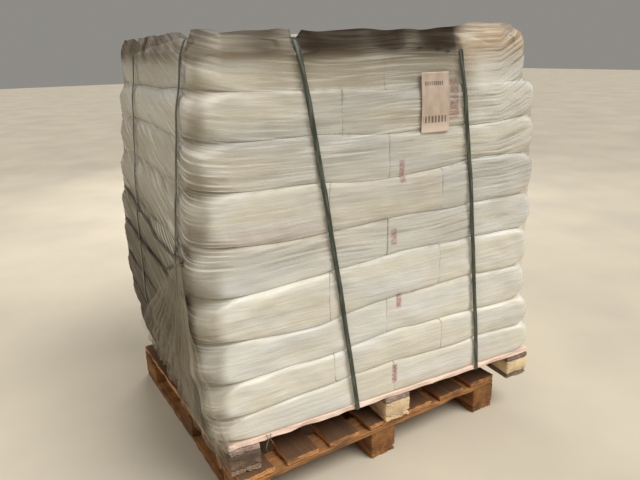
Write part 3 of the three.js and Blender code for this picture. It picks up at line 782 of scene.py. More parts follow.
@dataclass
class SackStack:
    """Forty-five filled sacks in nine layers of five, each layer laid crosswise to the next."""

    deck: Deck
    shape: SackShape = SackShape()
    arc_points: int = 8
    side_points: tuple[int, int] = (26, 20)
    side_levels: int = 21
    boxes: list[Array] = field(default_factory=list)

    def __post_init__(self) -> None:
        """Reads each layer's plan box from the frame: its low and high corners along X and Y."""
        for layer in range(LAYERS):
            low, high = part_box(f"sack_layer_{layer + 1}")
            self.boxes.append(np.array([[low[0], low[1]], [high[0], high[1]]]))

    def seam_box(self, seam: int) -> Array:
        """The plan box of a seam: the mean of the layers that meet there, drawn in on every side.

        Args:
            seam: The seam's number, from 0 at the deck.

        Returns:
            The low and high corners along X and Y.
        """
        below, above = self.boxes[max(seam - 1, 0)], self.boxes[min(seam, LAYERS - 1)]
        inset = self.shape.shoulder_inset if seam == LAYERS else self.shape.seam_inset
        front = self.shape.shoulder_inset if seam == LAYERS else self.shape.front_seam_inset
        if seam == LAYERS - 1:
            front *= 0.4
        return (below + above) / 2 + np.array([[inset, front], [-inset, -inset]])

    def seam_height(self, seam: int, x: Array, y: Array) -> Array:
        """A seam's height: the front row of heights, mixed with the same row turned round at the back.

        Args:
            seam: The seam's number, from 0 at the deck.
            x: Places along X.
            y: Places along Y.

        Returns:
            The height at each place.
        """
        u = (x - self.deck.left) / (self.deck.right - self.deck.left)
        v = np.clip((y - self.deck.front) / (self.deck.back - self.deck.front), 0, 1)
        heights = np.array(SEAM_HEIGHTS[seam]) * MM
        front = np.interp(u, SEAM_STATIONS, heights)
        back = np.interp(1 - u, SEAM_STATIONS, heights)
        sag = ripple(np.stack([x, y], axis=-1), 0.45, 70 + seam) * 4 * MM if 0 < seam < LAYERS else 0.0
        return self.deck.top + lerp(front, back, v) + sag

    @staticmethod
    def sack_cells(layer: int) -> list[tuple[float, float, float, float]]:
        """The plan of a layer: two sacks and three sacks side by side, turned round in each next layer.

        Args:
            layer: The layer, from 0 at the bottom.

        Returns:
            The five sacks as fractions of the layer's box: left, right, front and back.
        """
        halves = (0.0, 0.5, 1.0)
        thirds = (0.0, 0.365, 0.68, 1.0) if layer == LAYERS - 2 else (0.0, 1 / 3, 2 / 3, 1.0)
        front, back, split = (halves, thirds, 0.4) if layer % 2 == 0 else (thirds, halves, 0.6)
        cells = [(a, b, 0.0, split) for a, b in zip(front, front[1:])]
        return cells + [(a, b, split, 1.0) for a, b in zip(back, back[1:])]

    def profile(self, is_top: bool) -> tuple[Array, Array]:
        """The path from a sack's lower middle over its side to its upper middle.

        Args:
            is_top: Whether the sack is in the top layer, which needs more levels.

        Returns:
            The share of the outline's reach, and the share of the height, at each level.
        """
        side = (1 - np.cos(np.linspace(0, math.pi, self.side_levels))) / 2
        cap = np.array([0.3, 0.65, 0.9])
        upper = np.linspace(0.965, 0.04, 18) if is_top else cap[::-1]
        reach = np.concatenate([cap, np.ones_like(side), upper])
        height = np.concatenate([np.zeros_like(cap), side, np.ones_like(upper)])
        return reach, height

    def outline(self, low: Array, high: Array, radii: list[Array]) -> tuple[Array, Array]:
        """Rectangles with rounded corners, one a level, anticlockwise from the front left corner.

        Args:
            low: The front left corner at each level, shape (levels, 2).
            high: The back right corner at each level.
            radii: The radius of each corner at each level, in the outline's order.

        Returns:
            The points and their ways outwards, both of shape (levels, points, 2).
        """
        corners = (
            (low, low, -1, -1, 180),
            (high, low, 1, -1, 270),
            (high, high, 1, 1, 0),
            (low, high, -1, 1, 90),
        )
        points, ways = [], []
        for (at_x, at_y, sign_x, sign_y, first), radius in zip(corners, radii):
            turn = np.radians(first + np.linspace(0, 90, self.arc_points))
            spoke = np.stack([np.cos(turn), np.sin(turn)], axis=-1)[None]
            middle = np.stack([at_x[:, 0] - sign_x * radius, at_y[:, 1] - sign_y * radius], axis=-1)
            points.append(middle[:, None] + spoke * radius[:, None, None])
            ways.append(np.broadcast_to(spoke, points[-1].shape))
        ring_points, ring_ways = [], []
        for k in range(4):
            after = (k + 1) % 4
            t = np.linspace(0, 1, self.side_points[k % 2] + 1, endpoint=False)[1:, None]
            ring_points += [points[k], lerp(points[k][:, -1:], points[after][:, :1], t[None])]
            ring_ways += [ways[k], np.broadcast_to(ways[k][:, -1:], ring_points[-1].shape)]
        return np.concatenate(ring_points, axis=1), np.concatenate(ring_ways, axis=1)

    def sack_points(self, layer: int, number: int) -> Array:
        """Rings of points of one sack.

        Args:
            layer: The layer, from 0 at the bottom.
            number: The sack's place in its layer.

        Returns:
            Points of shape (levels, around, 3).
        """
        shape = self.shape
        left, right, front, back = self.sack_cells(layer)[number]
        reach, height = self.profile(layer == LAYERS - 1)
        swell = shape.swell(height, shape.side_power)
        front_swell = shape.swell(height, shape.front_power)
        share = np.stack([swell, front_swell, swell, swell], axis=-1).reshape(-1, 2, 2)
        seams = np.where(height[:, None, None] < 0.5, self.seam_box(layer), self.seam_box(layer + 1))
        box = lerp(seams, self.boxes[layer][None], share)
        size = box[:, 1] - box[:, 0]
        low = box[:, 0] + size * np.array([left, front])
        high = box[:, 0] + size * np.array([right, back])
        rng = np.random.default_rng(100 * layer + number)
        meet = lerp(shape.meet_gap + 1.5 * MM, shape.meet_gap, swell)
        outer = rng.uniform(-1 * MM, 5 * MM, size=4)
        low[:, 0] += meet if left > 0 else outer[0]
        high[:, 0] -= meet if right < 1 else outer[1]
        low[:, 1] += meet if front > 0 else outer[2] / 4
        high[:, 1] -= meet if back < 1 else outer[3]

        free = lerp(shape.free_radius[0], shape.free_radius[1], shape.swell(height, shape.free_power))
        taut = lerp(shape.right_radius[0], shape.right_radius[1], shape.swell(height, shape.right_power))
        met = lerp(shape.met_radius[0], shape.met_radius[1], swell)
        at_left, at_right, at_front, at_back = left == 0.0, right == 1.0, front == 0.0, back == 1.0
        is_free = (at_left and at_front, at_right and at_front, at_right and at_back, at_left and at_back)
        radii = [(taut if k in (1, 2) else free) if f else met for k, f in enumerate(is_free)]
        flat, ways = self.outline(low, high, radii)
        middle = ((low + high) / 2)[:, None]
        flat = middle + reach[:, None, None] * (flat - middle)
        x, y = flat[..., 0], flat[..., 1]
        gap = 0.3 * MM
        bottom = self.seam_height(layer, x, y) + gap
        top = self.seam_height(layer + 1, x, y) - gap
        points = np.stack([x, y, lerp(bottom, top, height[:, None])], axis=-1)

        seed = 11 * layer + number
        lumps = ripple(points, 0.16, seed) + 0.5 * ripple(points, 0.07, 900 + seed)
        ends = smooth(1.0, 0.75, np.abs(flat[..., 0] - middle[..., 0]) / ((high - low)[:, None, 0] / 2))
        depth = lumps * shape.lump * (swell * reach**4)[:, None] * (0.35 + 0.65 * ends)
        points[..., :2] += ways * depth[..., None]
        if layer == LAYERS - 1:
            place = np.abs((flat - middle) / ((high - low) / 2)[:, None])
            rise = (1 - np.clip(place[..., 0], 0, 1) ** 4) * (1 - np.clip(place[..., 1], 0, 1) ** 4)
            bumps = 1 + 0.12 * ripple(points, 0.11, 40 + number)
            points[..., 2] += np.where((height > 0.999)[:, None], rise * shape.crown * bumps, 0.0)
        return points

    def press_straps(self, points: Array) -> Array:
        """Dents the sacks under each strap by a Gaussian across the strap, deeper over the top edges.

        Args:
            points: A sack's rings of points, which are moved.

        Returns:
            The same points.
        """
        x, y, z = np.moveaxis(points.copy(), -1, 0)
        top = self.deck.top + STACK_TOP * MM
        shoulder = smooth(top - 0.13, top - 0.01, z)
        for line in STRAP_LINES:
            along, across, axis = (y, x, 1) if line.crossing is Crossing.FRONT else (x, y, 0)
            beside = across - self.deck.strap_place(line, z)
            near = np.exp(-((beside / (26 * MM)) ** 2))
            wide = np.exp(-((beside / (52 * MM)) ** 2))
            middle = self.deck.middle[axis]
            side = np.sign(along - middle)
            inner, outer = (0.36, 0.47) if axis == 1 else (0.46, 0.57)
            reach = smooth(inner, outer, np.abs(along - middle))
            points[..., axis] -= side * reach * (5 * MM * near + 8 * MM * wide * shoulder)
            crest = smooth(top - 30 * MM, top + 5 * MM, z)
            points[..., 2] -= crest * (15 * MM * wide + 2 * MM * near)
        return points

    def painted_rim_highlight(self, layer: int, points: Array) -> Array:
        """How strongly a front's upper edge is painted with a highlight, where the light catches a sack's
        rounded top: a Gaussian of the height's share.

        Args:
            layer: The sack's layer.
            points: Its rings of points.

        Returns:
            One share a point, strongest near the stack's two front corners and in the lower layers.
        """
        height = self.profile(layer == LAYERS - 1)[1][:, None]
        right = (points[..., 0] - self.deck.left) / MM
        front = smooth(30 * MM, 5 * MM, points[..., 1] - self.deck.front)
        along = 0.3 + 0.7 * np.maximum(smooth(450, 280, right), smooth(780, 900, right))
        patchy = np.clip(0.75 + 0.4 * ripple(points[..., :1], 0.25, 300 + layer), 0, 1)
        strength = (1.0, 1.0, 1.0, 1.0, 0.55, 0.5, 0.3, 0.0, 0.0)[layer]
        return strength * front * along * patchy * np.exp(-(((height - 0.94) / 0.035) ** 2))

    def layer_mesh(self, layer: int) -> tuple[Array, list[list[int]], Array, Array]:
        """Joins the five sacks of a layer.

        Args:
            layer: The layer, from 0 at the bottom.

        Returns:
            Points, faces, and a tone and a painted highlight share for each point.
        """
        forms, tones, rim_highlight_shares = [], [], []
        rng = np.random.default_rng(500 + layer)
        for number in range(5):
            rings = self.press_straps(self.sack_points(layer, number))
            forms.append(closed_tube(rings))
            tones.append(np.full(len(forms[-1][0]), rng.uniform(-0.12, 0.12)))
            rim_highlight_shares.append(np.append(self.painted_rim_highlight(layer, rings).ravel(), [0.0, 0.0]))
        return *joined(forms), np.concatenate(tones), np.concatenate(rim_highlight_shares)

    def build(self, finish: Material) -> tuple[Array, list]:
        """Makes one piece for each layer.

        Args:
            finish: The sacks' paper.

        Returns:
            The points and faces of the whole stack, for the film to be laid on.
        """
        forms = []
        for layer in range(LAYERS):
            points, faces, tones, rim_highlight_shares = self.layer_mesh(layer)
            name = f"layer_{layer + 1}"
            piece = add_piece(f"sacks_of_{name}", points, faces, finish, "sack", f"sack_{name}")
            set_tone(piece, tones)
            set_tone(piece, rim_highlight_shares, "painted_rim_highlight")
            forms.append((points, faces))
        return joined(forms)


@dataclass
class Skin:
    """The surface that the stretched film lies on: places by distance round the stack and by height.

    The distance starts at the front left corner and runs along the front, the right side, the back and the
    left side. Film is pulled straight over creases and seams, so the skin is the sacks' own surface closed by
    a window: the largest reach within the window, and then the smallest of those.
    """

    deck: Deck
    form: tuple[Array, list]
    low: float = -115 * MM
    high: float = 1094 * MM
    row_pitch: float = 6.6 * MM
    column_pitch: float = 8.2 * MM
    stand_off: float = 2.2 * MM
    corner_columns: int = 24

    def __post_init__(self) -> None:
        """Lays a plain shell round the stack, draws it onto the sacks and closes the notches."""
        self.rows = np.arange(self.low, self.high, self.row_pitch)
        base, inward, self.around = self.shell()
        self.outward = -inward
        onto_sacks = self.drawn_in(base, inward)
        reach = self.closed(onto_sacks)
        self.gap = np.clip(onto_sacks - reach, 0, None)
        self.points = base + inward[None] * reach[..., None]
        self.hang_below_deck()

    @property
    def length(self) -> float:
        """The distance once round the stack."""
        return float(self.around[-1] + np.linalg.norm(self.points[0, 0] - self.points[0, -1]))

    @property
    def middle_row(self) -> Array:
        """The points of the row half way up, by column."""
        return self.points[len(self.rows) // 2]

    @property
    def edge_x(self) -> Array:
        """How far the uppermost row is from the deck's left edge along X, by column."""
        return self.points[-1, :, 0] - self.deck.left

    @property
    def edge_y(self) -> Array:
        """How far the uppermost row is from the deck's front edge along Y, by column."""
        return self.points[-1, :, 1] - self.deck.front

    def shell(self) -> tuple[Array, Array, Array]:
        """A prism with rounded corners outside the stack.

        Returns:
            Its points by row and column, each column's way inwards, and its distance round.
        """
        out = 95 * MM
        radius = out + 85 * MM
        x0, x1 = self.deck.left - out, self.deck.right + out
        y0, y1 = self.deck.front - out, self.deck.back + out
        outline, normals = [], []
        corners = (
            ((x0 + radius, y0), (x1 - radius, y0), (x1 - radius, y0 + radius), -90),
            ((x1, y0 + radius), (x1, y1 - radius), (x1 - radius, y1 - radius), 0),
            ((x1 - radius, y1), (x0 + radius, y1), (x0 + radius, y1 - radius), 90),
            ((x0, y1 - radius), (x0, y0 + radius), (x0 + radius, y0 + radius), 180),
        )
        for start, end, centre, first in corners:
            start, end = np.array(start), np.array(end)
            count = int(np.linalg.norm(end - start) / self.column_pitch)
            t = np.linspace(0, 1, count, endpoint=False)[:, None]
            outline.append(start + (end - start) * t)
            way = math.radians(first)
            normals.append(np.tile([math.cos(way), math.sin(way)], (count, 1)))
            turns = np.radians(first + np.linspace(0, 90, self.corner_columns, endpoint=False))
            spoke = np.stack([np.cos(turns), np.sin(turns)], axis=-1)
            outline.append(np.array(centre) + radius * spoke)
            normals.append(spoke)
        outline, normals = np.concatenate(outline), np.concatenate(normals)
        steps = np.linalg.norm(np.diff(outline - normals * out, axis=0), axis=1)
        around = np.concatenate([[0.0], np.cumsum(steps)])
        base = np.empty((len(self.rows), len(outline), 3))
        base[..., :2] = outline
        base[..., 2] = self.deck.top + self.rows[:, None]
        inward = np.concatenate([-normals, np.zeros((len(outline), 1))], axis=1)
        return base, inward, around

    def drawn_in(self, base: Array, inward: Array) -> Array:
        """How far each point of the shell is from the sacks, by Blender's own projection.

        Args:
            base: The shell's points.
            inward: Each column's way inwards.

        Returns:
            Distances by row and column; a point that meets no sack takes the nearest row's.
        """
        rows, columns = base.shape[:2]
        form_mesh = bpy.data.meshes.new("form")
        form_mesh.from_pydata(self.form[0].tolist(), [], self.form[1])
        form = new_object("form", form_mesh)
        mesh = bpy.data.meshes.new("shell")
        mesh.from_pydata(base.reshape(-1, 3).tolist(), [], grid_faces(rows, columns, ring=True).tolist())
        shell = new_object("shell", mesh)
        draw = shell.modifiers.new("draw", "SHRINKWRAP")
        draw.target = form
        draw.wrap_method = "PROJECT"
        draw.use_negative_direction = True
        draw.use_positive_direction = False
        done = shell.evaluated_get(bpy.context.evaluated_depsgraph_get()).data
        moved = np.empty(rows * columns * 3)
        done.vertices.foreach_get("co", moved)
        reach = ((moved.reshape(base.shape) - base) * inward[None]).sum(axis=-1)
        for piece in (form, shell):
            data = piece.data
            bpy.data.objects.remove(piece)
            bpy.data.meshes.remove(data)
        met = reach > 5 * MM
        order = np.arange(rows)
        for column in np.flatnonzero(~met.all(axis=0)):
            good = met[:, column]
            reach[:, column] = np.interp(order, order[good], reach[good, column])
        return reach - self.stand_off

    def closed(self, reach: Array) -> Array:
        """Bridges the notches between the sacks, as film that is pulled straight does.

        The window is narrow over the seams, and wider at the left side, near the top and round the stack.
        The columns are then smoothed, and over the uppermost seam the film is a tent: a smoothing up and
        down that the sacks push outwards again after each step.

        Args:
            reach: The sacks' distances from the shell, by row and column.

        Returns:
            The film's distances from the shell.
        """
        column_steps, tent_steps = 6, 9
        narrow = self.bridge(reach, 3, axis=0)
        wide = self.bridge(reach, 9, axis=0)
        out = lerp(narrow, wide, 0.45 * smooth(0.0, 0.5, -self.outward[:, 0]))
        out = lerp(out, wide, 0.85 * smooth(0.8, 1.0, -self.outward[:, 0]))
        upper = smooth(0.9, 0.95, self.rows)[:, None]
        out = lerp(out, wide, upper)
        out = self.bridge(out, 7, axis=1)
        for _ in range(column_steps):
            out = (np.roll(out, 1, axis=1) + out * 2 + np.roll(out, -1, axis=1)) / 4
        tent = out
        for step in range(tent_steps):
            padded = np.pad(tent, ((1, 1), (0, 0)), mode="edge")
            tent = (padded[:-2] + 2 * padded[1:-1] + padded[2:]) / 4
            if step == 0:
                out = tent
            tent = np.minimum(tent, reach)
        return np.minimum(lerp(out, tent, upper), reach)

    def waves_round(self, wave: Callable[[Array], Array], around: Array) -> Array:
        """Waves along the distance round that close on themselves.

        Args:
            wave: A function of the distance round.
            around: Distances round the stack, in metres.

        Returns:
            The waves, which fade along the left side's front half into what they are at the start.
        """
        share = smooth(self.length - 0.5, self.length, around)
        return lerp(wave(around), wave(around - self.length), share)

    def left_share(self) -> Array:
        """One on the left side, falling to zero round its two corners, by column."""
        return smooth(0.1, 0.95, -self.outward[:, 0])

    @staticmethod
    def bridge(reach: Array, window: int, axis: int) -> Array:
        """The smallest distance within the window either way, and then the largest of those.

        Args:
            reach: Distances by row and column.
            window: How many rows or columns it reaches either way.
            axis: 0 for up and down, 1 for round the stack.

        Returns:
            The bridged distances.
        """
        mode = "edge" if axis == 0 else "wrap"
        pad = [(0, 0), (0, 0)]
        pad[axis] = (window, window)

        def slid(values: Array, pick: Callable[..., Array]) -> Array:
            """What pick takes of all the values that lie in the window round each place."""
            wide = np.pad(values, pad, mode=mode)
            return pick(np.lib.stride_tricks.sliding_window_view(wide, 2 * window + 1, axis=axis), axis=-1)

        return slid(slid(reach, np.min), np.max)

    def hang_below_deck(self) -> None:
        """Below the sacks' lowest bulge the skin turns in to the deck's edge, 7 mm past it."""
        edge = self.points[0].copy()
        past = 7 * MM
        edge[:, 0] = np.clip(edge[:, 0], self.deck.left - past, self.deck.right + past)
        edge[:, 1] = np.clip(edge[:, 1], self.deck.front - past, self.deck.back + past)
        bottom = int(np.searchsorted(self.rows, 14 * MM))
        held = self.points[bottom]
        share = smooth(14 * MM, -60 * MM, self.rows)[:, None, None]
        below = lerp(held[None, :, :2], edge[None, :, :2], share)
        self.points[:bottom, :, :2] = below[:bottom]

    def place(self, around: Array, height: Array, off: Array | float = 0.0) -> Array:
        """Points on the skin.

        Args:
            around: Distances round the stack, in metres; they may pass the start.
            height: Heights above the deck, in metres.
            off: Distances outside the skin, in metres.

        Returns:
            Places, read from the grid by mixing its four nearest points.
        """
        around, height = np.broadcast_arrays(np.asarray(around, float), np.asarray(height, float))
        out = self.read(self.points, around, height)
        out[..., 2] = self.deck.top + height
        ways = np.broadcast_to(self.outward, self.points.shape)
        return out + self.read(ways, around, height) * np.asarray(off)[..., None]

    def read(self, grid: Array, around: Array, height: Array) -> Array:
        """Values of a grid of the skin's rows and columns, mixed from the four nearest ones.

        Args:
            grid: Numbers or vectors by row and column.
            around: Distances round the stack, in metres.
            height: Heights above the deck.

        Returns:
            One number or vector a place.
        """
        columns = len(self.around)
        column = np.interp(around % self.length, np.append(self.around, self.length), np.arange(columns + 1))
        row = np.clip((height - self.low) / self.row_pitch, 0, len(self.rows) - 1.001)
        c, r = column.astype(int), row.astype(int)
        fc, fr = column - c, row - r
        if grid.ndim == 3:
            fc, fr = fc[..., None], fr[..., None]
        c, after = c % columns, (c + 1) % columns
        near = lerp(grid[r, c], grid[r, after], fc)
        far = lerp(grid[r + 1, c], grid[r + 1, after], fc)
        return lerp(near, far, fr)

    def front_at(self, x: Array, height: Array) -> Array:
        """Where the skin lies on the front.

        Args:
            x: Places along X.
            height: Heights above the deck.

        Returns:
            The skin's place along Y at each.
        """
        flat = (x - self.deck.left).ravel()
        places = self.place(np.clip(flat + self.start_shift(), 0, None), height.ravel())
        return places[:, 1].reshape(x.shape)

    def start_shift(self) -> float:
        """How far the distance round differs from the X distance to the deck's left edge."""
        return float(self.deck.left - self.points[0, 0, 0])


@dataclass
class StretchFilm:
    """The film round the stack, its standing upper edge, and the loose hem over the left side."""

    skin: Skin
    hem_left: float = -32 * MM
    hem_rest: float = 3 * MM
    rows: int = 166
    collar_rows: int = 12
    folded_over: str = "strap_front_right"
    # Shares by the height above the deck in metres, and the web's edge in millimetres from the deck's left.
    # Darker towards the top: partly more turns of film, partly painted shade on the upper layers.
    turns_and_shade_by_height: Table = (
        (0.0, 0.04), (0.44, 0.08), (0.5, 0.26), (0.58, 0.32), (0.65, 0.29), (0.85, 0.31), (0.96, 0.42),
        (1.03, 0.58), (1.08, 0.62),
    )
    fewer_past_strap: Table = ((0.5, 0.55), (0.62, 0.35), (0.72, 0.0), (0.85, 0.15), (0.96, 0.55))
    # Painted shade: the left side's film is darker towards the bottom.
    shade_at_left: Table = ((0.0, 0.86), (0.3, 0.84), (0.6, 0.66), (0.9, 0.44), (1.08, 0.38))
    # Milky film spanning the front left corner, darkened with painted shade where the corner turns away from
    # the light.
    milky_and_shaded_in_web: Table = (
        (0.2, 0.54), (0.58, 0.54), (0.66, 0.62), (0.72, 0.6), (0.79, 0.55), (0.88, 0.61), (1.0, 0.58),
    )
    web_edge_mm: Table = (
        (0.15, -78), (0.24, -62), (0.34, -50), (0.43, -32), (0.58, -40), (0.62, -18), (0.69, 4), (0.84, -8),
        (0.94, 14), (1.04, 12),
    )
    # The fold's height, and the standing edge's tone, which is mostly painted shade, by the distance from the
    # deck's left edge.
    fold_heights: Table = ((0.49, 1.117), (0.556, 1.111), (0.631, 1.097), (0.742, 1.087), (0.779, 1.08))
    collar_shades: Table = ((0.05, 0.8), (0.26, 0.86), (0.3, 0.97), (0.8, 0.97), (0.86, 0.6), (1.05, 0.6))

    def start_place(self) -> float:
        """The distance round of the back right corner, where the wrinkle map starts."""
        row = self.skin.middle_row
        return float(self.skin.around[int(np.argmax(row[:, 0] + row[:, 1]))])

    def hem(self) -> Array:
        """The hem: low along the left side, above the deck elsewhere, with small waves.

        Returns:
            Its height by column.
        """
        skin = self.skin
        waves = skin.waves_round(lambda place: ripple(place[:, None], 0.14, 21), skin.around) * 9 * MM
        return lerp(self.hem_rest, self.hem_left + waves, skin.left_share())

    def upright(self) -> Array:
        """How upright the upper edge is: less under a strap, fully a little way beside it.

        At one strap the film is folded over the strap, so its edge stands there too.

        Returns:
            A share by column, one where it stands.
        """
        skin = self.skin
        top = skin.deck.top + STACK_TOP * MM
        edge = skin.points[-1]
        share = np.ones(len(skin.around))
        for line in STRAP_LINES:
            if line.name == self.folded_over:
                continue
            at_front = line.crossing is Crossing.FRONT
            across = edge[:, 0] if at_front else edge[:, 1]
            sideways = np.abs(skin.outward[:, 1 if at_front else 0])
            facing = smooth(0.7, 0.75, sideways) if at_front else smooth(0.2, 0.6, sideways)
            reach = 15 * MM if at_front else 42 * MM
            near = 0.45 + 0.55 * smooth(9 * MM, reach, np.abs(across - skin.deck.strap_place(line, top)))
            share = np.minimum(share, lerp(1.0, near, facing))
        return share

    def collar(self) -> Array:
        """The upper edge where it stands, highest near the front's right end.

        Returns:
            Its height above the stack's top by column.
        """
        skin = self.skin
        x = skin.edge_x
        hump = np.exp(-(((x - 0.93) / 0.14) ** 2)) * (skin.points[-1, :, 1] < 0)
        waves = skin.waves_round(lambda place: ripple(place[:, None], 0.21, 31), skin.around)
        waves = waves * 4 * MM * (1 - 0.6 * skin.left_share())
        dip = smooth(1.02, 1.14, x) * smooth(0.3, 0.05, skin.edge_y)
        return 40 * MM + hump * 20 * MM + waves - dip * 17 * MM

    def build(self, finish: Material) -> None:
        """One sheet from the hem to the upper edge, open at both, as the real film is.

        Each point is the skin's own plus a ripple across the wrinkles; above the body the rows rise to the
        collar's height while they lean in and curl.

        Args:
            finish: The film.
        """
        skin = self.skin
        body_top = skin.high - skin.row_pitch
        share = np.linspace(0, 1, self.rows)[:, None]
        heights = lerp(self.hem(), body_top, share)
        around = np.broadcast_to(skin.around, heights.shape)
        flow = self.flow(around, heights)
        wrinkle = ripple(flow * np.array([0.12, 1.0]), 0.024, 5) * 0.9 * MM
        body = skin.place(around, heights, np.clip(wrinkle, -0.8 * MM, 2 * MM))

        up = np.linspace(0, 1, self.collar_rows + 1)[1:, None]
        upright = self.upright()
        rise = (STACK_TOP * MM - body_top) * np.minimum(up * 2, 1) + upright * self.collar() * up
        standing = smooth(0.45, 1.0, upright)
        leaning = lerp(np.minimum(1.6 * up, 1.0), smooth(0, 1, up), standing)
        lean_in = lerp(52 * MM, 17 * MM, upright) * leaning
        around = skin.around + 0 * up
        curl = skin.waves_round(
            lambda place: ripple(np.stack([place, 0.1 * up + 0 * place], axis=-1), 0.1, 8), around
        )
        curl = curl * 5 * MM * up * (1 - 0.65 * skin.left_share()) * standing
        edge = body[-1][None] + skin.outward[None] * (curl - lean_in)[..., None]
        edge[..., 2] = body[-1][None, :, 2] + rise

        points = np.concatenate([body, edge])
        rows, columns = points.shape[:2]
        faces = grid_faces(rows, columns, ring=True).tolist()
        piece = add_piece("stretch_film_wrap", points.reshape(-1, 3), faces, finish, "film", "stretch_film")
        heights = np.concatenate([heights, body_top + rise])
        around = np.broadcast_to(skin.around, heights.shape)
        set_flow(piece, self.flow(around, heights).reshape(-1, 2), (skin.length, self.left_fall()))
        level = np.minimum(up * 2, 1) * (STACK_TOP * MM - body_top) + self.collar() * up
        level = np.concatenate([heights[: self.rows], body_top + level])
        set_tone(piece, self.thickness(around, level).ravel())
        set_tone(piece, self.tan_share(level).ravel(), "tan")
        set_tone(piece, self.pull(around, level).ravel(), "pull")

    def left_fall(self) -> float:
        """How far the wrinkles fall along the whole left side."""
        return 0.3 * (self.skin.deck.back - self.skin.deck.front)

    def flow(self, around: Array, heights: Array) -> Array:
        """The way of the film's wrinkles.

        The wrinkles are level on the front, climb to the right past the right strap high up, and fall towards
        the front along the left side. The map starts at the back right corner, where u jumps back.

        Args:
            around: Distances round.
            heights: Heights above the deck.

        Returns:
            Pairs in metres: u runs along the wrinkles and v across them.
        """
        skin = self.skin
        run = (around - self.start_place()) % skin.length
        back = skin.deck.right - skin.deck.left
        side = skin.deck.back - skin.deck.front
        share = np.clip((run - back) / side, 0, 1)
        fallen = (share - np.clip(share - 0.84, 0, None) ** 2 / 0.32) / 0.92 * self.left_fall()
        past_strap = np.clip(run - (back + side + 0.86), 0, 0.28)
        climb = past_strap * 0.5 * smooth(0.5, 1.1, heights)
        waver = ripple(np.stack([np.sin(run), heights * 0.6], -1), 0.5, 77) * 8 * MM
        return np.stack([run, heights - climb + fallen + waver], axis=-1)

    def thickness(self, around: Array, heights: Array) -> Array:
        """How milky and how darkly shaded the film is: where its turns overlap, where it stands off the
        sacks, and where shade is painted.

        It grows towards the top, partly as its turns overlap more and partly as painted shade on the upper
        layers, and less so past the right strap; on the left side it grows towards the bottom as painted
        shade. The standing edge is painted with deep shade, darkest between the front straps, and that fades
        out over the shoulder below. Painted shade also lies over the uppermost front seam, along a fold line,
        in the web and in the pockets at the front left corner.

        Args:
            around: Distances round.
            heights: Heights above the deck.

        Returns:
            The tone from none to one: thickness and painted shade.
        """
        skin = self.skin
        left = smooth(0.5, 0.97, -skin.outward[:, 0])
        x = skin.edge_x
        right = smooth(0.84, 0.92, x)
        off_sacks = smooth(2 * MM, 20 * MM, skin.read(skin.gap, around, heights))
        # Darker towards the top: partly more turns of film, partly painted shade on the upper layers.
        turns = read_off(self.turns_and_shade_by_height, heights)
        turns = turns * (1 - right * read_off(self.fewer_past_strap, heights))
        left_shade = read_off(self.shade_at_left, heights)
        bands = 0.05 * skin.waves_round(
            lambda place: ripple(np.stack([0.15 * np.sin(place), heights], axis=-1), 0.3, 61), around
        )
        turns = turns - 0.14 * (smooth(0.26, 0.12, x) * smooth(0.93, 1.0, heights))
        between = smooth(0.25, 0.35, x) * smooth(0.82, 0.74, x)
        turns = turns + 0.02 * between * smooth(0.95, 1.0, heights)
        # Painted shade on the left side, darker towards the bottom.
        value = lerp(turns, np.maximum(turns, left_shade), left)
        value = value + lerp(0.12, 0.2, left) * off_sacks + bands
        # Painted shade in the pockets where the film stands off the sacks at the front left corner, low down.
        corner = smooth(0.15, 0.5, -skin.outward[:, 0]) * smooth(0.2, 0.6, -skin.outward[:, 1])
        value = value + 0.35 * corner * off_sacks * smooth(0.62, 0.5, heights)
        beside = smooth(0.88, 1.0, -skin.outward[:, 0])
        most = lerp(0.5, 1.0, np.maximum(beside, smooth(0.9, 0.97, heights)))
        # Painted shade over the lit ledge of the uppermost front seam.
        value = np.minimum(np.maximum(value, self.shade_over_seam(heights)), most)
        # The web is milky film, partly darkened with painted shade.
        in_web = read_off(self.milky_and_shaded_in_web, heights) + 0.06 * off_sacks
        value = lerp(value, in_web, self.web(around, heights))
        collar = smooth(1.045, 1.112, heights)
        # Painted shade over the standing edge.
        value = lerp(value, self.collar_shade(), collar)
        # Painted shade along the fold line.
        return np.clip(np.maximum(value, self.fold_shade(heights)), 0.0, 1.0)

    def web(self, around: Array, heights: Array) -> Array:
        """Where the film spans the front left corner like a web, off the sacks' round ends.

        Args:
            around: Distances round.
            heights: Heights above the deck.

        Returns:
            Nearly one in the web, zero past it.
        """
        skin = self.skin
        limit = read_off(self.web_edge_mm, heights) * MM
        x = skin.read(skin.points[..., 0], around, heights) - skin.deck.left
        at_front = skin.read(skin.points[..., 1], around, heights) < skin.deck.middle[1]
        past_corner = smooth(1.0, 0.85, -skin.outward[:, 0])
        return 0.85 * smooth(16 * MM, -14 * MM, x - limit) * at_front * past_corner

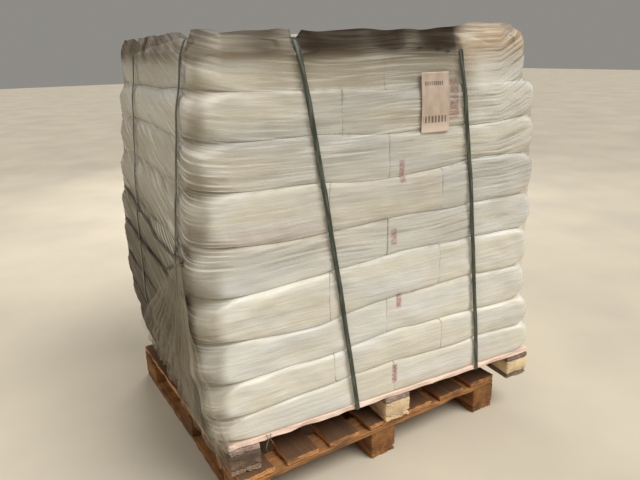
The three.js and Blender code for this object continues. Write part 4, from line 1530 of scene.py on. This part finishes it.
    def pull(self, around: Array, heights: Array) -> Array:
        """How hard the film is pulled into streaks: most over the upper layers and round the right corner.

        Args:
            around: Distances round.
            heights: Heights above the deck.

        Returns:
            The pull, which is zero in slack film and about one in the streaks.
        """
        skin = self.skin
        x = skin.edge_x
        high_up = 0.4 * smooth(0.5, 0.75, heights) + 0.6 * smooth(0.8, 0.92, heights)
        corner = smooth(0.78, 0.9, x) * high_up
        upper = 0.4 * smooth(0.82, 0.93, heights) * smooth(1.05, 0.98, heights)
        upper = upper * smooth(0.15, 0.35, x)
        middle = 0.6 * smooth(0.46, 0.56, heights) * smooth(1.03, 0.95, heights)
        patches = 0.12 * skin.waves_round(
            lambda place: ripple(np.stack([np.sin(place), heights], axis=-1), 0.35, 19), around
        )
        pulled = np.clip(0.5 + np.maximum(np.maximum(corner, upper), middle) + patches, 0.0, 1.5)
        slack = smooth(0.24, 0.02, x) * smooth(0.5, 0.97, 1 + skin.outward[:, 0])
        return pulled * (1 - 0.85 * self.web(around, heights)) * (1 - 0.75 * slack)

    def shade_over_seam(self, heights: Array) -> Array:
        """Painted shade that hides the lit ledge of the front's uppermost seam: a Gaussian of the distance
        from the seam.

        Args:
            heights: Heights above the deck.

        Returns:
            The least tone there, zero elsewhere.
        """
        skin = self.skin
        x = skin.edge_x
        share = x / (skin.deck.right - skin.deck.left)
        seam = np.interp(share, SEAM_STATIONS, SEAM_HEIGHTS[LAYERS - 1]) * MM
        along = smooth(0.95, 0.7, x) * (skin.edge_y < 0.1)
        return 0.5 * along * np.exp(-(((heights - seam) / (13 * MM)) ** 2))

    def fold_shade(self, heights: Array) -> Array:
        """Painted shade along the edge of a fold that runs from the right front strap's top to the left.

        Args:
            heights: Heights above the deck.

        Returns:
            The painted shade's tone there, a Gaussian of the distance from the fold, and zero elsewhere.
        """
        x = self.skin.edge_x
        middle = read_off(self.fold_heights, x)
        along = smooth(0.45, 0.52, x) * smooth(0.8, 0.78, x) * (self.skin.edge_y < 0.06)
        return 0.95 * along * np.exp(-(((heights - middle) / (4.5 * MM)) ** 2))

    def collar_shade(self) -> Array:
        """How dark the standing edge is painted: mostly painted shade, darkest between the front straps.

        Returns:
            The tone by column.
        """
        skin = self.skin
        tone = read_off(self.collar_shades, skin.edge_x)
        at_front = skin.edge_y < 0.06
        elsewhere = lerp(0.7, 0.83, skin.left_share())
        waves = skin.waves_round(lambda place: ripple(place[:, None], 0.15, 66), skin.around)
        return np.where(at_front, tone, elsewhere) + waves * 0.05

    def tan_share(self, heights: Array) -> Array:
        """How tan the film is: its many turns over the top of the front right corner have yellowed."""
        near = smooth(0.8, 0.88, self.skin.edge_x) * smooth(0.35, 0.1, self.skin.edge_y)
        return near * smooth(1.0, 1.1, heights)


@dataclass
class LooseFilm:
    """The film that hangs loose on the left side: two twisted ropes, the bunch they end in, and its fan."""

    skin: Skin
    rope_rings: int = 150
    rope_sides: int = 14
    rope_twist: float = 46.0
    fan_columns: int = 150
    fan_rows: int = 84
    fan_pleats: int = 17
    strand_pairs: int = 30
    rope_thickness: float = 0.74
    strand_thickness: float = 0.7
    slack_pull: float = 0.4

    def at_left(self, from_middle: Array) -> Array:
        """Finds places along the left side; those before its flat part go on round the front left corner.

        Args:
            from_middle: Places along Y from the deck's middle, in mm.

        Returns:
            Their distances round the stack, in metres.
        """
        skin = self.skin
        columns = np.flatnonzero(skin.outward[:, 0] < -0.999)
        y = skin.middle_row[columns, 1]
        wanted = skin.deck.middle[1] + np.asarray(from_middle) * MM
        on_side = np.interp(wanted, y[::-1], skin.around[columns][::-1])
        return on_side + np.clip(y.min() - wanted, 0, None)

    def rope(self, name: str, stations: Table, radius: float, finish: Material) -> None:
        """A band of film twisted into a rope: a ring with three lobes that turns as it runs along the skin.

        Args:
            name: The piece's name.
            stations: Places from the deck's middle along Y and heights above the deck, in mm.
            radius: The rope's mean radius in metres.
            finish: Its material.
        """
        t = np.linspace(0, 1, self.rope_rings)
        knots = np.linspace(0, 1, len(stations))
        y, z = (np.interp(t, knots, column) for column in zip(*stations))
        z = z * MM + ripple(t[:, None], 0.5, 3) * 2 * MM
        path = self.skin.place(self.at_left(y), z, radius * 0.7)
        tangent = np.gradient(path, axis=0)
        tangent /= np.linalg.norm(tangent, axis=1, keepdims=True)
        side = np.cross(tangent, [0, 0, 1.0])
        side /= np.linalg.norm(side, axis=1, keepdims=True)
        up = np.cross(side, tangent)
        angle = np.linspace(0, 2 * math.pi, self.rope_sides, endpoint=False)
        twist = t[:, None] * self.rope_twist
        swell = 0.75 + 0.25 * np.sin(t * 40 + 2) + 0.2 * smooth(0.86, 1.0, t)
        lobes = radius * swell[:, None] * (1 + 0.28 * np.cos(3 * angle[None] + twist))
        spokes = side[:, None] * np.cos(angle)[None, :, None] + up[:, None] * np.sin(angle)[None, :, None]
        points, faces = closed_tube(path[:, None] + lobes[..., None] * spokes)
        piece = add_piece(name, points, [face[::-1] for face in faces], finish, "film")
        run = np.broadcast_to(t[:, None], lobes.shape)
        across = np.broadcast_to(angle / 60, lobes.shape) + run * 0.4
        flow = np.stack([run * 0.6, across], axis=-1).reshape(-1, 2)
        set_flow(piece, np.concatenate([flow, flow[:1], flow[-1:]]))
        set_tone(piece, np.full(len(points), self.rope_thickness))
        set_tone(piece, np.full(len(points), self.slack_pull), "pull")

    def fan(self, finish: Material) -> None:
        """The sheet that spreads from the bunch down over the pallet's side.

        Each line of it is a quadratic curve from the bunch over a middle point to the ragged hem, and pleats
        run along the lines: a sine across the fan that grows towards the hem.

        Args:
            finish: The film.
        """
        across, down = np.linspace(0, 1, self.fan_columns), np.linspace(0, 1, self.fan_rows)
        stations = (0.0, 0.1, 0.22, 0.36, 0.5, 0.62, 0.74, 0.86, 0.94, 1.0)
        hem_y = np.interp(across, stations, (-500, -470, -341, -201, -49, 60, 150, 300, 400, 455))
        hem_z = np.interp(across, stations, (-80, -99, -72, -66, 0, 18, 10, -44, -86, 10))
        hem_z += ripple(across[:, None], 0.07, 14) * 5
        top_y = lerp(-428.0, -385.0, across)
        top_z = 572 - 60 * (across - 0.5) ** 2
        mid_y = read_off(((0, -436), (0.12, -410), (0.4, -310), (1, -80)), across)
        mid_z = read_off(((0, 400), (0.12, 330), (0.4, 250), (1, 330)), across)
        s = down[:, None]
        y = (1 - s) ** 2 * top_y + 2 * s * (1 - s) * mid_y + s**2 * hem_y
        z = ((1 - s) ** 2 * top_z + 2 * s * (1 - s) * mid_z + s**2 * hem_z) * MM
        pleats = np.sin(across * 2 * math.pi * self.fan_pleats + 2.2 * np.sin(across * 21))
        pleats = pleats + 0.5 * np.sin(across * 190 + s * 5)
        flare = lerp(2.5 * MM, 7.5 * MM, smooth(0.0, 0.8, s))
        off = 9 * MM + flare * pleats * (0.35 + 0.65 * smooth(0.02, 0.35, s))
        points = self.skin.place(self.at_left(y), np.broadcast_to(z, off.shape), off)
        faces = grid_faces(*off.shape, ring=False)
        piece = add_piece("stretch_film_fan", points.reshape(-1, 3), faces.tolist(), finish, "film")
        flow = np.stack(np.broadcast_arrays(s * 0.62, across * 0.42), axis=-1)
        set_flow(piece, flow.reshape(-1, 2))
        thick = 0.38 + 0.09 * pleats / 1.5 - 0.36 * smooth(0.34, 0.0, across) * smooth(0.3, 0.7, s)
        thick = thick + 0.21 * np.exp(-(((s - 0.48) / 0.14) ** 2)) - 0.17 * smooth(0.34, 0.16, s)
        thick = thick - 0.26 * smooth(0.7, 1.0, across)
        thick = thick - 0.18 * smooth(0.6, 0.9, s) * smooth(0.7, 0.3, across)
        set_tone(piece, np.clip(np.broadcast_to(thick, off.shape), 0.1, 0.8).ravel())
        set_tone(piece, np.full(off.size, self.slack_pull), "pull")

    def strand(self, name: str, start: float, points_mm: Table, finish: Material) -> None:
        """A torn thread of film that hangs off the front edge: a thin ribbon through the given points.

        Args:
            name: The piece's name.
            start: Its distance from the deck's left edge in mm.
            points_mm: Sideways and upward steps from the deck's top edge.
            finish: Its material.
        """
        deck = self.skin.deck
        t = np.linspace(0, 1, self.strand_pairs)
        knots = np.linspace(0, 1, len(points_mm))
        sideways, upwards = (np.interp(t, knots, column) for column in zip(*points_mm))
        x = deck.left + (start + sideways) * MM
        z = deck.top + upwards * MM
        y = deck.front - 2.5 * MM - 3 * MM * np.sin(t * 7) ** 2
        width = 2.2 * MM * (1.2 - t)
        left = np.stack([x - width, y, z], axis=-1)
        right = np.stack([x + width, y - 0.6 * MM, z], axis=-1)
        grid = np.stack([right, left], axis=1)[::-1]
        faces = grid_faces(self.strand_pairs, 2, ring=False).tolist()
        piece = add_piece(name, grid.reshape(-1, 3), faces, finish, "film")
        set_flow(piece, np.stack([np.repeat(t, 2) * 0.1, np.tile([0, 0.004], self.strand_pairs)], axis=-1))
        set_tone(piece, np.full(2 * self.strand_pairs, self.strand_thickness))

    def build(self, fan_finish: Material, rope_finish: Material) -> None:
        """Makes the ropes, the fan and the torn strands.

        Args:
            fan_finish: The film of the fan and the strands.
            rope_finish: The film of the ropes, whose darker brown is painted shade.
        """
        upper = ((440, 612), (311, 602), (122, 583), (-29, 571), (-161, 556), (-300, 552), (-425, 568))
        lower = ((440, 492), (356, 483), (160, 464), (-2, 464), (-213, 478), (-330, 520), (-428, 560))
        self.rope("stretch_film_rope_upper", upper, 5 * MM, rope_finish)
        self.rope("stretch_film_rope_lower", lower, 4.5 * MM, rope_finish)
        self.fan(fan_finish)
        self.strand("stretch_film_strand_1", 118, ((0, 4), (6, -18), (-4, -40), (3, -62)), fan_finish)
        self.strand("stretch_film_strand_2", 132, ((0, 3), (-3, -14), (6, -30), (12, -44)), fan_finish)


@dataclass
class Straps:
    """Four bands of strapping, pulled tight round the stack and under the upper pallet's deck."""

    skin: Skin
    board: float
    width: float = 16 * MM
    thickness: float = 1.1 * MM
    slack_share: float = 0.3
    step: float = 6 * MM
    levels: int = 180

    def section(self, line: StrapLine) -> Array:
        """The strap's loop in its own plane.

        The loop is the convex outline of the skin, drawn part of the way back to the skin so that it dips a
        little between the bulges.

        Args:
            line: The strap's place.

        Returns:
            Pairs of the way across the stack and the height above the deck.
        """
        skin, deck = self.skin, self.skin.deck
        heights = np.linspace(4 * MM, 1088 * MM, self.levels)
        at_front = line.crossing is Crossing.FRONT
        across = deck.strap_place(line, deck.top + heights)
        start = self.around_at(line, across, first=True)
        end = self.around_at(line, across, first=False)
        axis = 1 if at_front else 0
        near = skin.place(start, heights)[:, axis]
        far = skin.place(end, heights)[:, axis]
        low, high = (deck.front, deck.back) if at_front else (deck.left, deck.right)
        edge = 0.5 * MM
        under = -((1 if at_front else 2) * self.board + 0.4 * MM)
        lift = 21 * MM if at_front else 23.4 * MM
        shoulder = 14 * MM
        off = 1.0 * MM
        near_side = np.stack([near - off, heights], axis=-1)
        far_side = np.stack([far + off, heights], axis=-1)
        crest = np.array(
            [[near[-1] + shoulder, STACK_TOP * MM + lift], [far[-1] - shoulder, STACK_TOP * MM + lift]]
        )
        foot = np.array(
            [[low - edge, under], [low - edge, 0.5 * MM], [high + edge, 0.5 * MM], [high + edge, under]]
        )
        hull = self.hull(np.concatenate([near_side, far_side, crest, foot]))
        return self.settled(hull, near_side, far_side)

    def around_at(self, line: StrapLine, across: Array, first: bool) -> Array:
        """Where a strap crosses a side of the stack.

        Args:
            line: The strap's place.
            across: Its places along X or Y.
            first: Whether the side is the first, front or left, or the opposite one.

        Returns:
            The distances round the stack.
        """
        skin = self.skin
        axis = 0 if line.crossing is Crossing.FRONT else 1
        facing = skin.outward[:, 1 - axis]
        wanted = facing < -0.7 if first else facing > 0.7
        columns = np.flatnonzero(wanted)
        middle = skin.middle_row[columns, axis]
        order = np.argsort(middle)
        return np.interp(across, middle[order], skin.around[columns][order])

    @staticmethod
    def hull(points: Array) -> Array:
        """The convex outline, by the monotone chain over points sorted along the first axis.

        Args:
            points: Places in a plane.

        Returns:
            The outline's points, anticlockwise.
        """
        ordered = points[np.lexsort((points[:, 1], points[:, 0]))].tolist()

        def turn(a: list[float], b: list[float], c: list[float]) -> float:
            """The cross product of the steps from a to b and to c: above zero for a turn to the left."""
            return (b[0] - a[0]) * (c[1] - a[1]) - (b[1] - a[1]) * (c[0] - a[0])

        outline = []
        for items in (ordered, ordered[::-1]):
            side: list[list[float]] = []
            for item in items:
                while len(side) > 1 and turn(side[-2], side[-1], item) <= 0:
                    side.pop()
                side.append(item)
            outline += side[:-1]
        return np.array(outline)

    def settled(self, hull: Array, near_side: Array, far_side: Array) -> Array:
        """Lays the strap along the hull, drawn back a little towards the skin beside the stack.

        Args:
            hull: The convex outline.
            near_side: The skin's outline on the first side.
            far_side: The skin's outline on the opposite side.

        Returns:
            Points a step apart.
        """
        smoothings = 3
        loop = np.concatenate([hull, hull[:1]])
        steps = np.concatenate([[0], np.cumsum(np.linalg.norm(np.diff(loop, axis=0), axis=1))])
        places = np.linspace(0, steps[-1], int(steps[-1] / self.step), endpoint=False)
        path = np.stack([np.interp(places, steps, loop[:, k]) for k in (0, 1)], axis=-1)
        middle = (near_side[0, 0] + far_side[0, 0]) / 2
        for side, is_near in ((near_side, True), (far_side, False)):
            mine = (path[:, 0] < middle) == is_near
            beside = mine & (path[:, 1] > 20 * MM) & (path[:, 1] < 1070 * MM)
            real = np.interp(path[beside, 1], side[:, 1], side[:, 0])
            path[beside, 0] = lerp(path[beside, 0], real, self.slack_share)
        smoothed = path
        for _ in range(smoothings):
            smoothed = (np.roll(smoothed, 1, axis=0) + 2 * smoothed + np.roll(smoothed, -1, axis=0)) / 4
        upper = (path[:, 1] > 10 * MM)[:, None]
        return np.where(upper, smoothed, path)

    def build_one(self, line: StrapLine, finish: Material) -> None:
        """Carries a flat section with eased edges along the strap's loop.

        Args:
            line: The strap's place.
            finish: The strapping.
        """
        deck = self.skin.deck
        path = self.section(line)
        tangent = np.roll(path, -1, axis=0) - np.roll(path, 1, axis=0)
        tangent /= np.linalg.norm(tangent, axis=1, keepdims=True)
        outward = np.stack([tangent[:, 1], -tangent[:, 0]], axis=-1)
        half, ease = self.width / 2, 0.35 * MM
        widths = np.array([-half, -half + ease, 0, half - ease, half, half - ease, 0, -half + ease])
        depths = np.array([0.5, 1, 1, 1, 0.5, 0, 0, 0]) * self.thickness
        flat = path[:, None] + outward[:, None] * depths[None, :, None]
        across = deck.strap_place(line, deck.top + flat[..., 1]) + widths[None, :]
        z = deck.top + flat[..., 1]
        at_front = line.crossing is Crossing.FRONT
        points = np.stack([across, flat[..., 0], z] if at_front else [flat[..., 0], across, z], axis=-1)
        rows, columns = points.shape[:2]
        faces = grid_faces(rows + 1, columns, ring=True) % (rows * columns)
        faces = (faces[:, ::-1] if at_front else faces).tolist()
        piece = add_piece(f"{line.name}_band", points.reshape(-1, 3), faces, finish, "strap", line.name)
        run = np.broadcast_to((np.arange(rows) * self.step)[:, None], (rows, columns))
        set_flow(piece, np.stack([run, np.broadcast_to(widths, run.shape)], axis=-1).reshape(-1, 2))

    def build(self, finish: Material) -> None:
        """Makes the four straps."""
        for line in STRAP_LINES:
            self.build_one(line, finish)


@dataclass
class Label:
    """A paper label stuck on the film, on the front between the two straps."""

    skin: Skin
    thickness: float = 0.3 * MM
    stand_off: float = 1.2 * MM
    curl: float = 4 * MM
    columns: int = 30
    rows: int = 46
    smoothings: int = 120

    def build(self, finish: Material) -> None:
        """A grid that follows the film's front, smoothed, with its left edge a little curled.

        Args:
            finish: The label's paper.
        """
        low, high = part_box("label")
        across, up = np.linspace(0, 1, self.columns), np.linspace(0, 1, self.rows)
        x, z = np.meshgrid(lerp(low[0], high[0], across), lerp(low[2], high[2], up))
        film = self.skin.front_at(x, z - self.skin.deck.top)
        flat = film
        for _ in range(self.smoothings):
            padded = np.pad(flat, 1, mode="edge")
            flat = (padded[:-2, 1:-1] + padded[2:, 1:-1] + padded[1:-1, :-2] + padded[1:-1, 2:]) / 4
        y = flat - np.max(flat - film) - self.stand_off
        y = y - self.curl * (1 - smooth(0.0, 0.09, across))[None] * up[:, None]
        points = np.stack([x, y, z], axis=-1).reshape(-1, 3)
        faces = grid_faces(self.rows, self.columns, ring=False).tolist()
        piece = add_piece("paper_label", points, faces, finish, "label", "label")
        u, v = np.meshgrid(across, up)
        set_flow(piece, np.stack([u, v], axis=-1).reshape(-1, 2))
        wall = piece.modifiers.new("wall", "SOLIDIFY")
        wall.thickness = self.thickness


# The pallets


@dataclass(frozen=True)
class TimberWear:
    """How a sawn piece is worn: its eased edges, its rough faces and its broken ends, in metres."""

    edge_power: float = 9.0
    rough: float = 0.7 * MM
    bow: float = 1.2 * MM
    ragged: float = 2.0 * MM


@dataclass
class Timber:
    """One sawn piece of a pallet, cut to the size of its CAD node."""

    node: str
    turn: float
    wear: TimberWear
    seed: int
    section_points: int = 56
    ring_step: float = 14 * MM

    def box(self) -> tuple[Array, Array, Array]:
        """The node's own box, which lies turned about Z.

        Returns:
            The box's middle, its three sizes, and its three axes as rows.
        """
        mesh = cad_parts[self.node].data
        flat = np.empty(len(mesh.vertices) * 3)
        mesh.vertices.foreach_get("co", flat)
        points = flat.reshape(-1, 3)
        c, s = math.cos(self.turn), math.sin(self.turn)
        axes = np.array([[c, s, 0], [-s, c, 0], [0, 0, 1.0]])
        local = points @ axes.T
        low, high = local.min(axis=0), local.max(axis=0)
        return (low + high) / 2 @ axes, high - low, axes

    def build(self, finish: Material, slot: str) -> None:
        """A bar of superellipse section along its longest level side, rough faces and uneven ends.

        A point at (a, b) of a square's edge is divided by the p-norm of itself, which eases the four long
        edges. The last rings are drawn in a little, which eases the ends.

        Args:
            finish: The wood.
            slot: The record's material slot.
        """
        middle, size, axes = self.box()
        length_axis = 0 if size[0] >= size[1] else 1
        length, width, height = size[length_axis], size[1 - length_axis], size[2]
        count = max(int(length / self.ring_step), 8)
        inner = np.linspace(-0.5, 0.5, count)
        ease = 2.2 * MM / length
        left_end = [-0.5, -0.5 + ease * 0.3, -0.5 + ease]
        right_end = [0.5 - ease, 0.5 - ease * 0.3, 0.5]
        t = np.concatenate([left_end, inner[1:-1], right_end])
        shrink = np.ones_like(t)
        shrink[[0, -1]], shrink[[1, -2]] = 0.0, 0.5
        turn = np.linspace(0, 8, self.section_points, endpoint=False)
        a = -np.clip(np.abs((turn + 1) % 8 - 4) - 2, -1, 1)
        b = -np.clip(np.abs((turn + 7) % 8 - 4) - 2, -1, 1)
        power = self.wear.edge_power * max(1.0, height / (30 * MM))
        norm = (np.abs(a) ** power + np.abs(b) ** power) ** (1 / power)
        inset = 2.0 * MM * (1 - shrink[:, None])
        across = (a / norm)[None] * (width / 2 - inset)
        up = (b / norm)[None] * (height / 2 - inset)
        along = np.broadcast_to((t * length)[:, None], across.shape)
        rings = self.worn(np.stack([along, across, up], axis=-1), length, width, height)
        local = rings[..., [0, 1, 2] if length_axis == 0 else [1, 0, 2]]
        if length_axis == 1:
            local[..., 0] *= -1
        points, faces = closed_tube(local @ axes + middle)
        piece = add_piece(f"{self.node}_sawn", points, faces, finish, slot, self.node)
        piece.data.set_sharp_from_angle(angle=math.radians(50))
        rng = np.random.default_rng(self.seed)
        set_tone(piece, np.full(len(points), rng.uniform(-0.12, 0.12)))

    def worn(self, rings: Array, length: float, width: float, height: float) -> Array:
        """Roughens the faces inwards, bows the board and breaks its ends.

        Args:
            rings: The clean bar's rings of points along X, which are moved.
            length: The bar's length.
            width: Its width.
            height: Its height.

        Returns:
            The same rings.
        """
        seed, wear = self.seed, self.wear
        rough = np.abs(ripple(rings * np.array([0.25, 1, 1]), 0.035, seed)) * wear.rough
        reach = np.maximum(np.abs(rings[..., 1]) * 2 / width, np.abs(rings[..., 2]) * 2 / height)
        scale = 1 - rough * smooth(0.7, 1.0, reach) / (min(width, height) / 2)
        rings[..., 1] *= scale
        rings[..., 2] *= scale
        rings[..., 1] += wear.bow * np.cos(rings[..., 0] / length * math.pi) * math.sin(seed * 1.7)
        end = smooth(0.5 - 30 * MM / length, 0.5, np.abs(rings[..., 0]) / length)
        chip = np.abs(ripple(rings[..., 1:] * np.array([1.0, 2.5]), 0.045, seed + 50)) * wear.ragged
        rings[..., 0] -= np.sign(rings[..., 0]) * chip * end
        return rings


@dataclass
class Pallet:
    """A nine-block pallet: deck boards, stringer boards, blocks and bottom boards."""

    name: str
    turn: float
    finishes: dict[str, Material]
    boards: int = 7

    def names(self) -> list[tuple[str, str]]:
        """Lists the pallet's pieces.

        Returns:
            Each node's name with the kind of its piece.
        """
        found = [(f"{self.name}_deck_board_{i}", "deck") for i in range(1, self.boards + 1)]
        found += [(f"{self.name}_stringer_{i}", "stringer") for i in (1, 2, 3)]
        found += [(f"{self.name}_bottom_board_{i}", "bottom") for i in (1, 2, 3)]
        found += [(f"{self.name}_block_{row}{i}", "block") for row in "abc" for i in (1, 2, 3)]
        return found

    def build(self) -> None:
        """Makes every piece; the front ends of the bottom boards are the most broken."""
        for number, (node, kind) in enumerate(self.names()):
            ragged = {"deck": 3.0, "stringer": 3.0, "bottom": 7.0, "block": 2.0}[kind] * MM
            wear = TimberWear(ragged=ragged, edge_power=9.0 if kind != "block" else 12.0)
            finish = self.finishes.get(node, self.finishes[kind])
            timber = Timber(node, self.turn, wear, seed=len(self.name) * 7 + number)
            timber.build(finish, f"{self.name}_wood")


# The set


@dataclass(frozen=True)
class Studio:
    """The pale floor, the lights and the camera at the photograph's viewing angle."""

    deck: Deck
    camera_from_corner_mm: tuple[float, float, float] = (-405.0, -1386.1, 1089.2)
    yaw: float = 0.4795
    pitch: float = 0.3141
    roll: float = 0.0234
    focal_px: float = 578.7
    image_width_px: int = 640
    sensor_mm: float = 36.0
    floor_half: float = 30.0
    surround: str = "#e4e0d8"
    surround_strength: float = 0.35

    def build(self) -> None:
        """Puts the floor, the lights and the camera in the scene."""
        self.add_floor()
        self.add_camera()
        self.add_sun("key", (0.32, -0.52, 0.79), 40.0, 3.1)
        self.add_light("left_top", (-1.5, -0.5, 2.5), (-0.6, 0.0, 1.3), 2.2, 22)
        self.add_light("back_fill", (1.6, 4.0, 2.6), (0.2, 0.5, 0.7), 3.0, 110, glossy=False)
        world = bpy.data.worlds.new("studio")
        bpy.context.scene.world = world
        world.use_nodes = True
        background = world.node_tree.nodes["Background"]
        background.inputs[0].default_value = linear(self.surround)
        background.inputs[1].default_value = self.surround_strength
        bpy.context.scene.view_settings.view_transform = "Standard"

    def add_floor(self) -> None:
        """Lays a large pale plane at the ground."""
        mesh = bpy.data.meshes.new("floor")
        half = self.floor_half
        corners = [(-half, -half, 0), (half, -half, 0), (half, half, 0), (-half, half, 0)]
        mesh.from_pydata(corners, [], [(0, 1, 2, 3)])
        mesh.materials.append(FloorFinish().build())
        new_object("floor", mesh)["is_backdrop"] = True

    def add_camera(self) -> None:
        """Turns yaw, pitch and roll to the camera's own axes: right, up, and back along the view."""
        cy, sy = math.cos(self.yaw), math.sin(self.yaw)
        cp, sp = math.cos(self.pitch), math.sin(self.pitch)
        cr, sr = math.cos(self.roll), math.sin(self.roll)
        forward = Vector((sy * cp, cy * cp, -sp))
        level = Vector((cy, -sy, 0))
        down = forward.cross(level)
        right = level * cr + down * sr
        up = -(down * cr - level * sr)
        data = bpy.data.cameras.new("camera")
        data.sensor_width = self.sensor_mm
        data.lens = self.focal_px * self.sensor_mm / self.image_width_px
        camera = new_object("camera", data)
        corner = Vector((self.deck.left, self.deck.front, self.deck.top))
        place = corner + Vector(self.camera_from_corner_mm) * MM
        turn = Matrix((right, up, -forward)).transposed()
        camera.matrix_world = Matrix.Translation(place) @ turn.to_4x4()
        bpy.context.scene.camera = camera

    @staticmethod
    def add_sun(name: str, towards: tuple, spread: float, strength: float) -> None:
        """Adds even light over the whole floor.

        Args:
            name: The light's name.
            towards: The direction that it comes from.
            spread: How wide it is, in degrees.
            strength: How bright it is, in watts a square metre.
        """
        data = bpy.data.lights.new(name, "SUN")
        data.angle = math.radians(spread)
        data.energy = strength
        light = new_object(name, data)
        light.rotation_euler = (-Vector(towards)).to_track_quat("-Z", "Y").to_euler()

    @staticmethod
    def add_light(
        name: str, place: tuple, target: tuple, size: float, power: float, glossy: bool = True
    ) -> None:
        """Adds a square soft light.

        Args:
            name: The light's name.
            place: Where it stands.
            target: What it faces.
            size: Its side.
            power: How bright it is, in watts.
            glossy: Whether glossy surfaces mirror it.
        """
        data = bpy.data.lights.new(name, "AREA")
        data.size = size
        data.energy = power
        light = new_object(name, data)
        light.location = place
        light.visible_glossy = glossy
        light.rotation_euler = (Vector(target) - Vector(place)).to_track_quat("-Z", "Y").to_euler()


def wood_finishes() -> tuple[dict[str, Material], dict[str, Material]]:
    """Makes the wood of both pallets.

    Returns:
        The upper and then the lower pallet's finishes, by the kind of piece or by a node's name.
    """
    along_x, along_y, turned_x, turned_y = Grain
    fresh = WoodFinish("fresh_broken_spruce", along_y, "#e0c6a0", "#b38f62", "#8f7556", 0.35)
    upper = {
        "deck": WoodFinish("weathered_deck_spruce", along_x, "#ffe8d5", "#e2c1ad", "#ab9484", 0.3),
        "stringer": WoodFinish("weathered_stringer_spruce", along_y, "#b39c8c", "#6f5d50", "#5b4c42"),
        "bottom": WoodFinish("weathered_runner_spruce", along_y, "#a58d78", "#66523f", "#4c3f35"),
        "block": WoodFinish("weathered_block_spruce", along_y, "#b89a78", "#7d6347", "#57473a"),
        # Painted shade: the front left block is darker because it lies in deep shade.
        "upper_block_a1": WoodFinish("shaded_block_spruce", along_y, "#93795f", "#5c4836", "#3f342a", 0.75),
        "upper_block_b1": fresh,
        "upper_bottom_board_2": fresh,
        "upper_block_c1": WoodFinish("yellow_block_spruce", along_y, "#f7e8c2", "#d6ba8a", "#a08867", 0.3),
    }
    lower = {
        # The lower deck's upward faces are darkened to its dark dirt colour as painted shade from the upper
        # pallet.
        "deck": WoodFinish("brown_deck_spruce", turned_y, "#cf9257", "#8a592b", "#3a2b1f", 0.4, 0.86),
        "stringer": WoodFinish("brown_stringer_spruce", turned_x, "#a97642", "#6b4524", "#3f2d1e"),
        "bottom": WoodFinish("brown_runner_spruce", turned_y, "#a56f38", "#5f3b1e", "#38281b", 0.7),
        "block": WoodFinish("brown_block_spruce", turned_y, "#a87339", "#6d4421", "#402d1d", 0.5),
    }
    built = {wood: wood.build() for wood in dict.fromkeys((*upper.values(), *lower.values()))}
    upper_built = {piece: built[wood] for piece, wood in upper.items()}
    return upper_built, {piece: built[wood] for piece, wood in lower.items()}


def print_marks() -> tuple[PrintMark, ...]:
    """The plain red bars on the sacks' fronts, read from the photograph's places.

    Returns:
        The bars.
    """
    return (
        PrintMark(605, 745, 14, 62),
        PrintMark(575, 545, 16, 46),
        PrintMark(597, 330, 14, 44),
        PrintMark(583, 70, 14, 62),
        PrintMark(800, 945, 30, 110),
    )


def main() -> None:
    """Builds the pallets, the sacks, the film, the straps, the label and the set."""
    logging.basicConfig(level=logging.INFO, format="%(message)s")
    deck = Deck.from_frame()
    Studio(deck).build()
    upper, lower = wood_finishes()
    Pallet("upper", 0.0, upper).build()
    Pallet("lower", math.radians(4.0), lower).build()
    corner = (deck.left, deck.front, deck.top)
    sack_paper = SackFinish(marks=print_marks(), origin=corner).build()
    form = SackStack(deck).build(sack_paper)
    skin = Skin(deck, form)
    StretchFilm(skin).build(FilmFinish("clear_stretch_film").build())
    loose_film = FilmFinish(
        "loose_stretch_film", clear="#c2b8a2", milky="#a69b84", thick="#857a64", ridge_share=0.25
    )
    # The ropes' darker brown is painted shade along the folds they lie in.
    twisted_film = FilmFinish("shaded_twisted_stretch_film", thick="#6b5f4b", ridge_share=0.25)
    LooseFilm(skin).build(loose_film.build(), twisted_film.build())
    Straps(skin, board=20 * MM).build(StrapFinish().build())
    Label(skin).build(LabelFinish().build())
    boxes = {"cad": CAD_BOX, "visual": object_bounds()}
    plain = {name: [list(map(float, corner)) for corner in box] for name, box in boxes.items()}
    log.info("boxes: %s", plain)


if __name__ == "__main__":
    main()
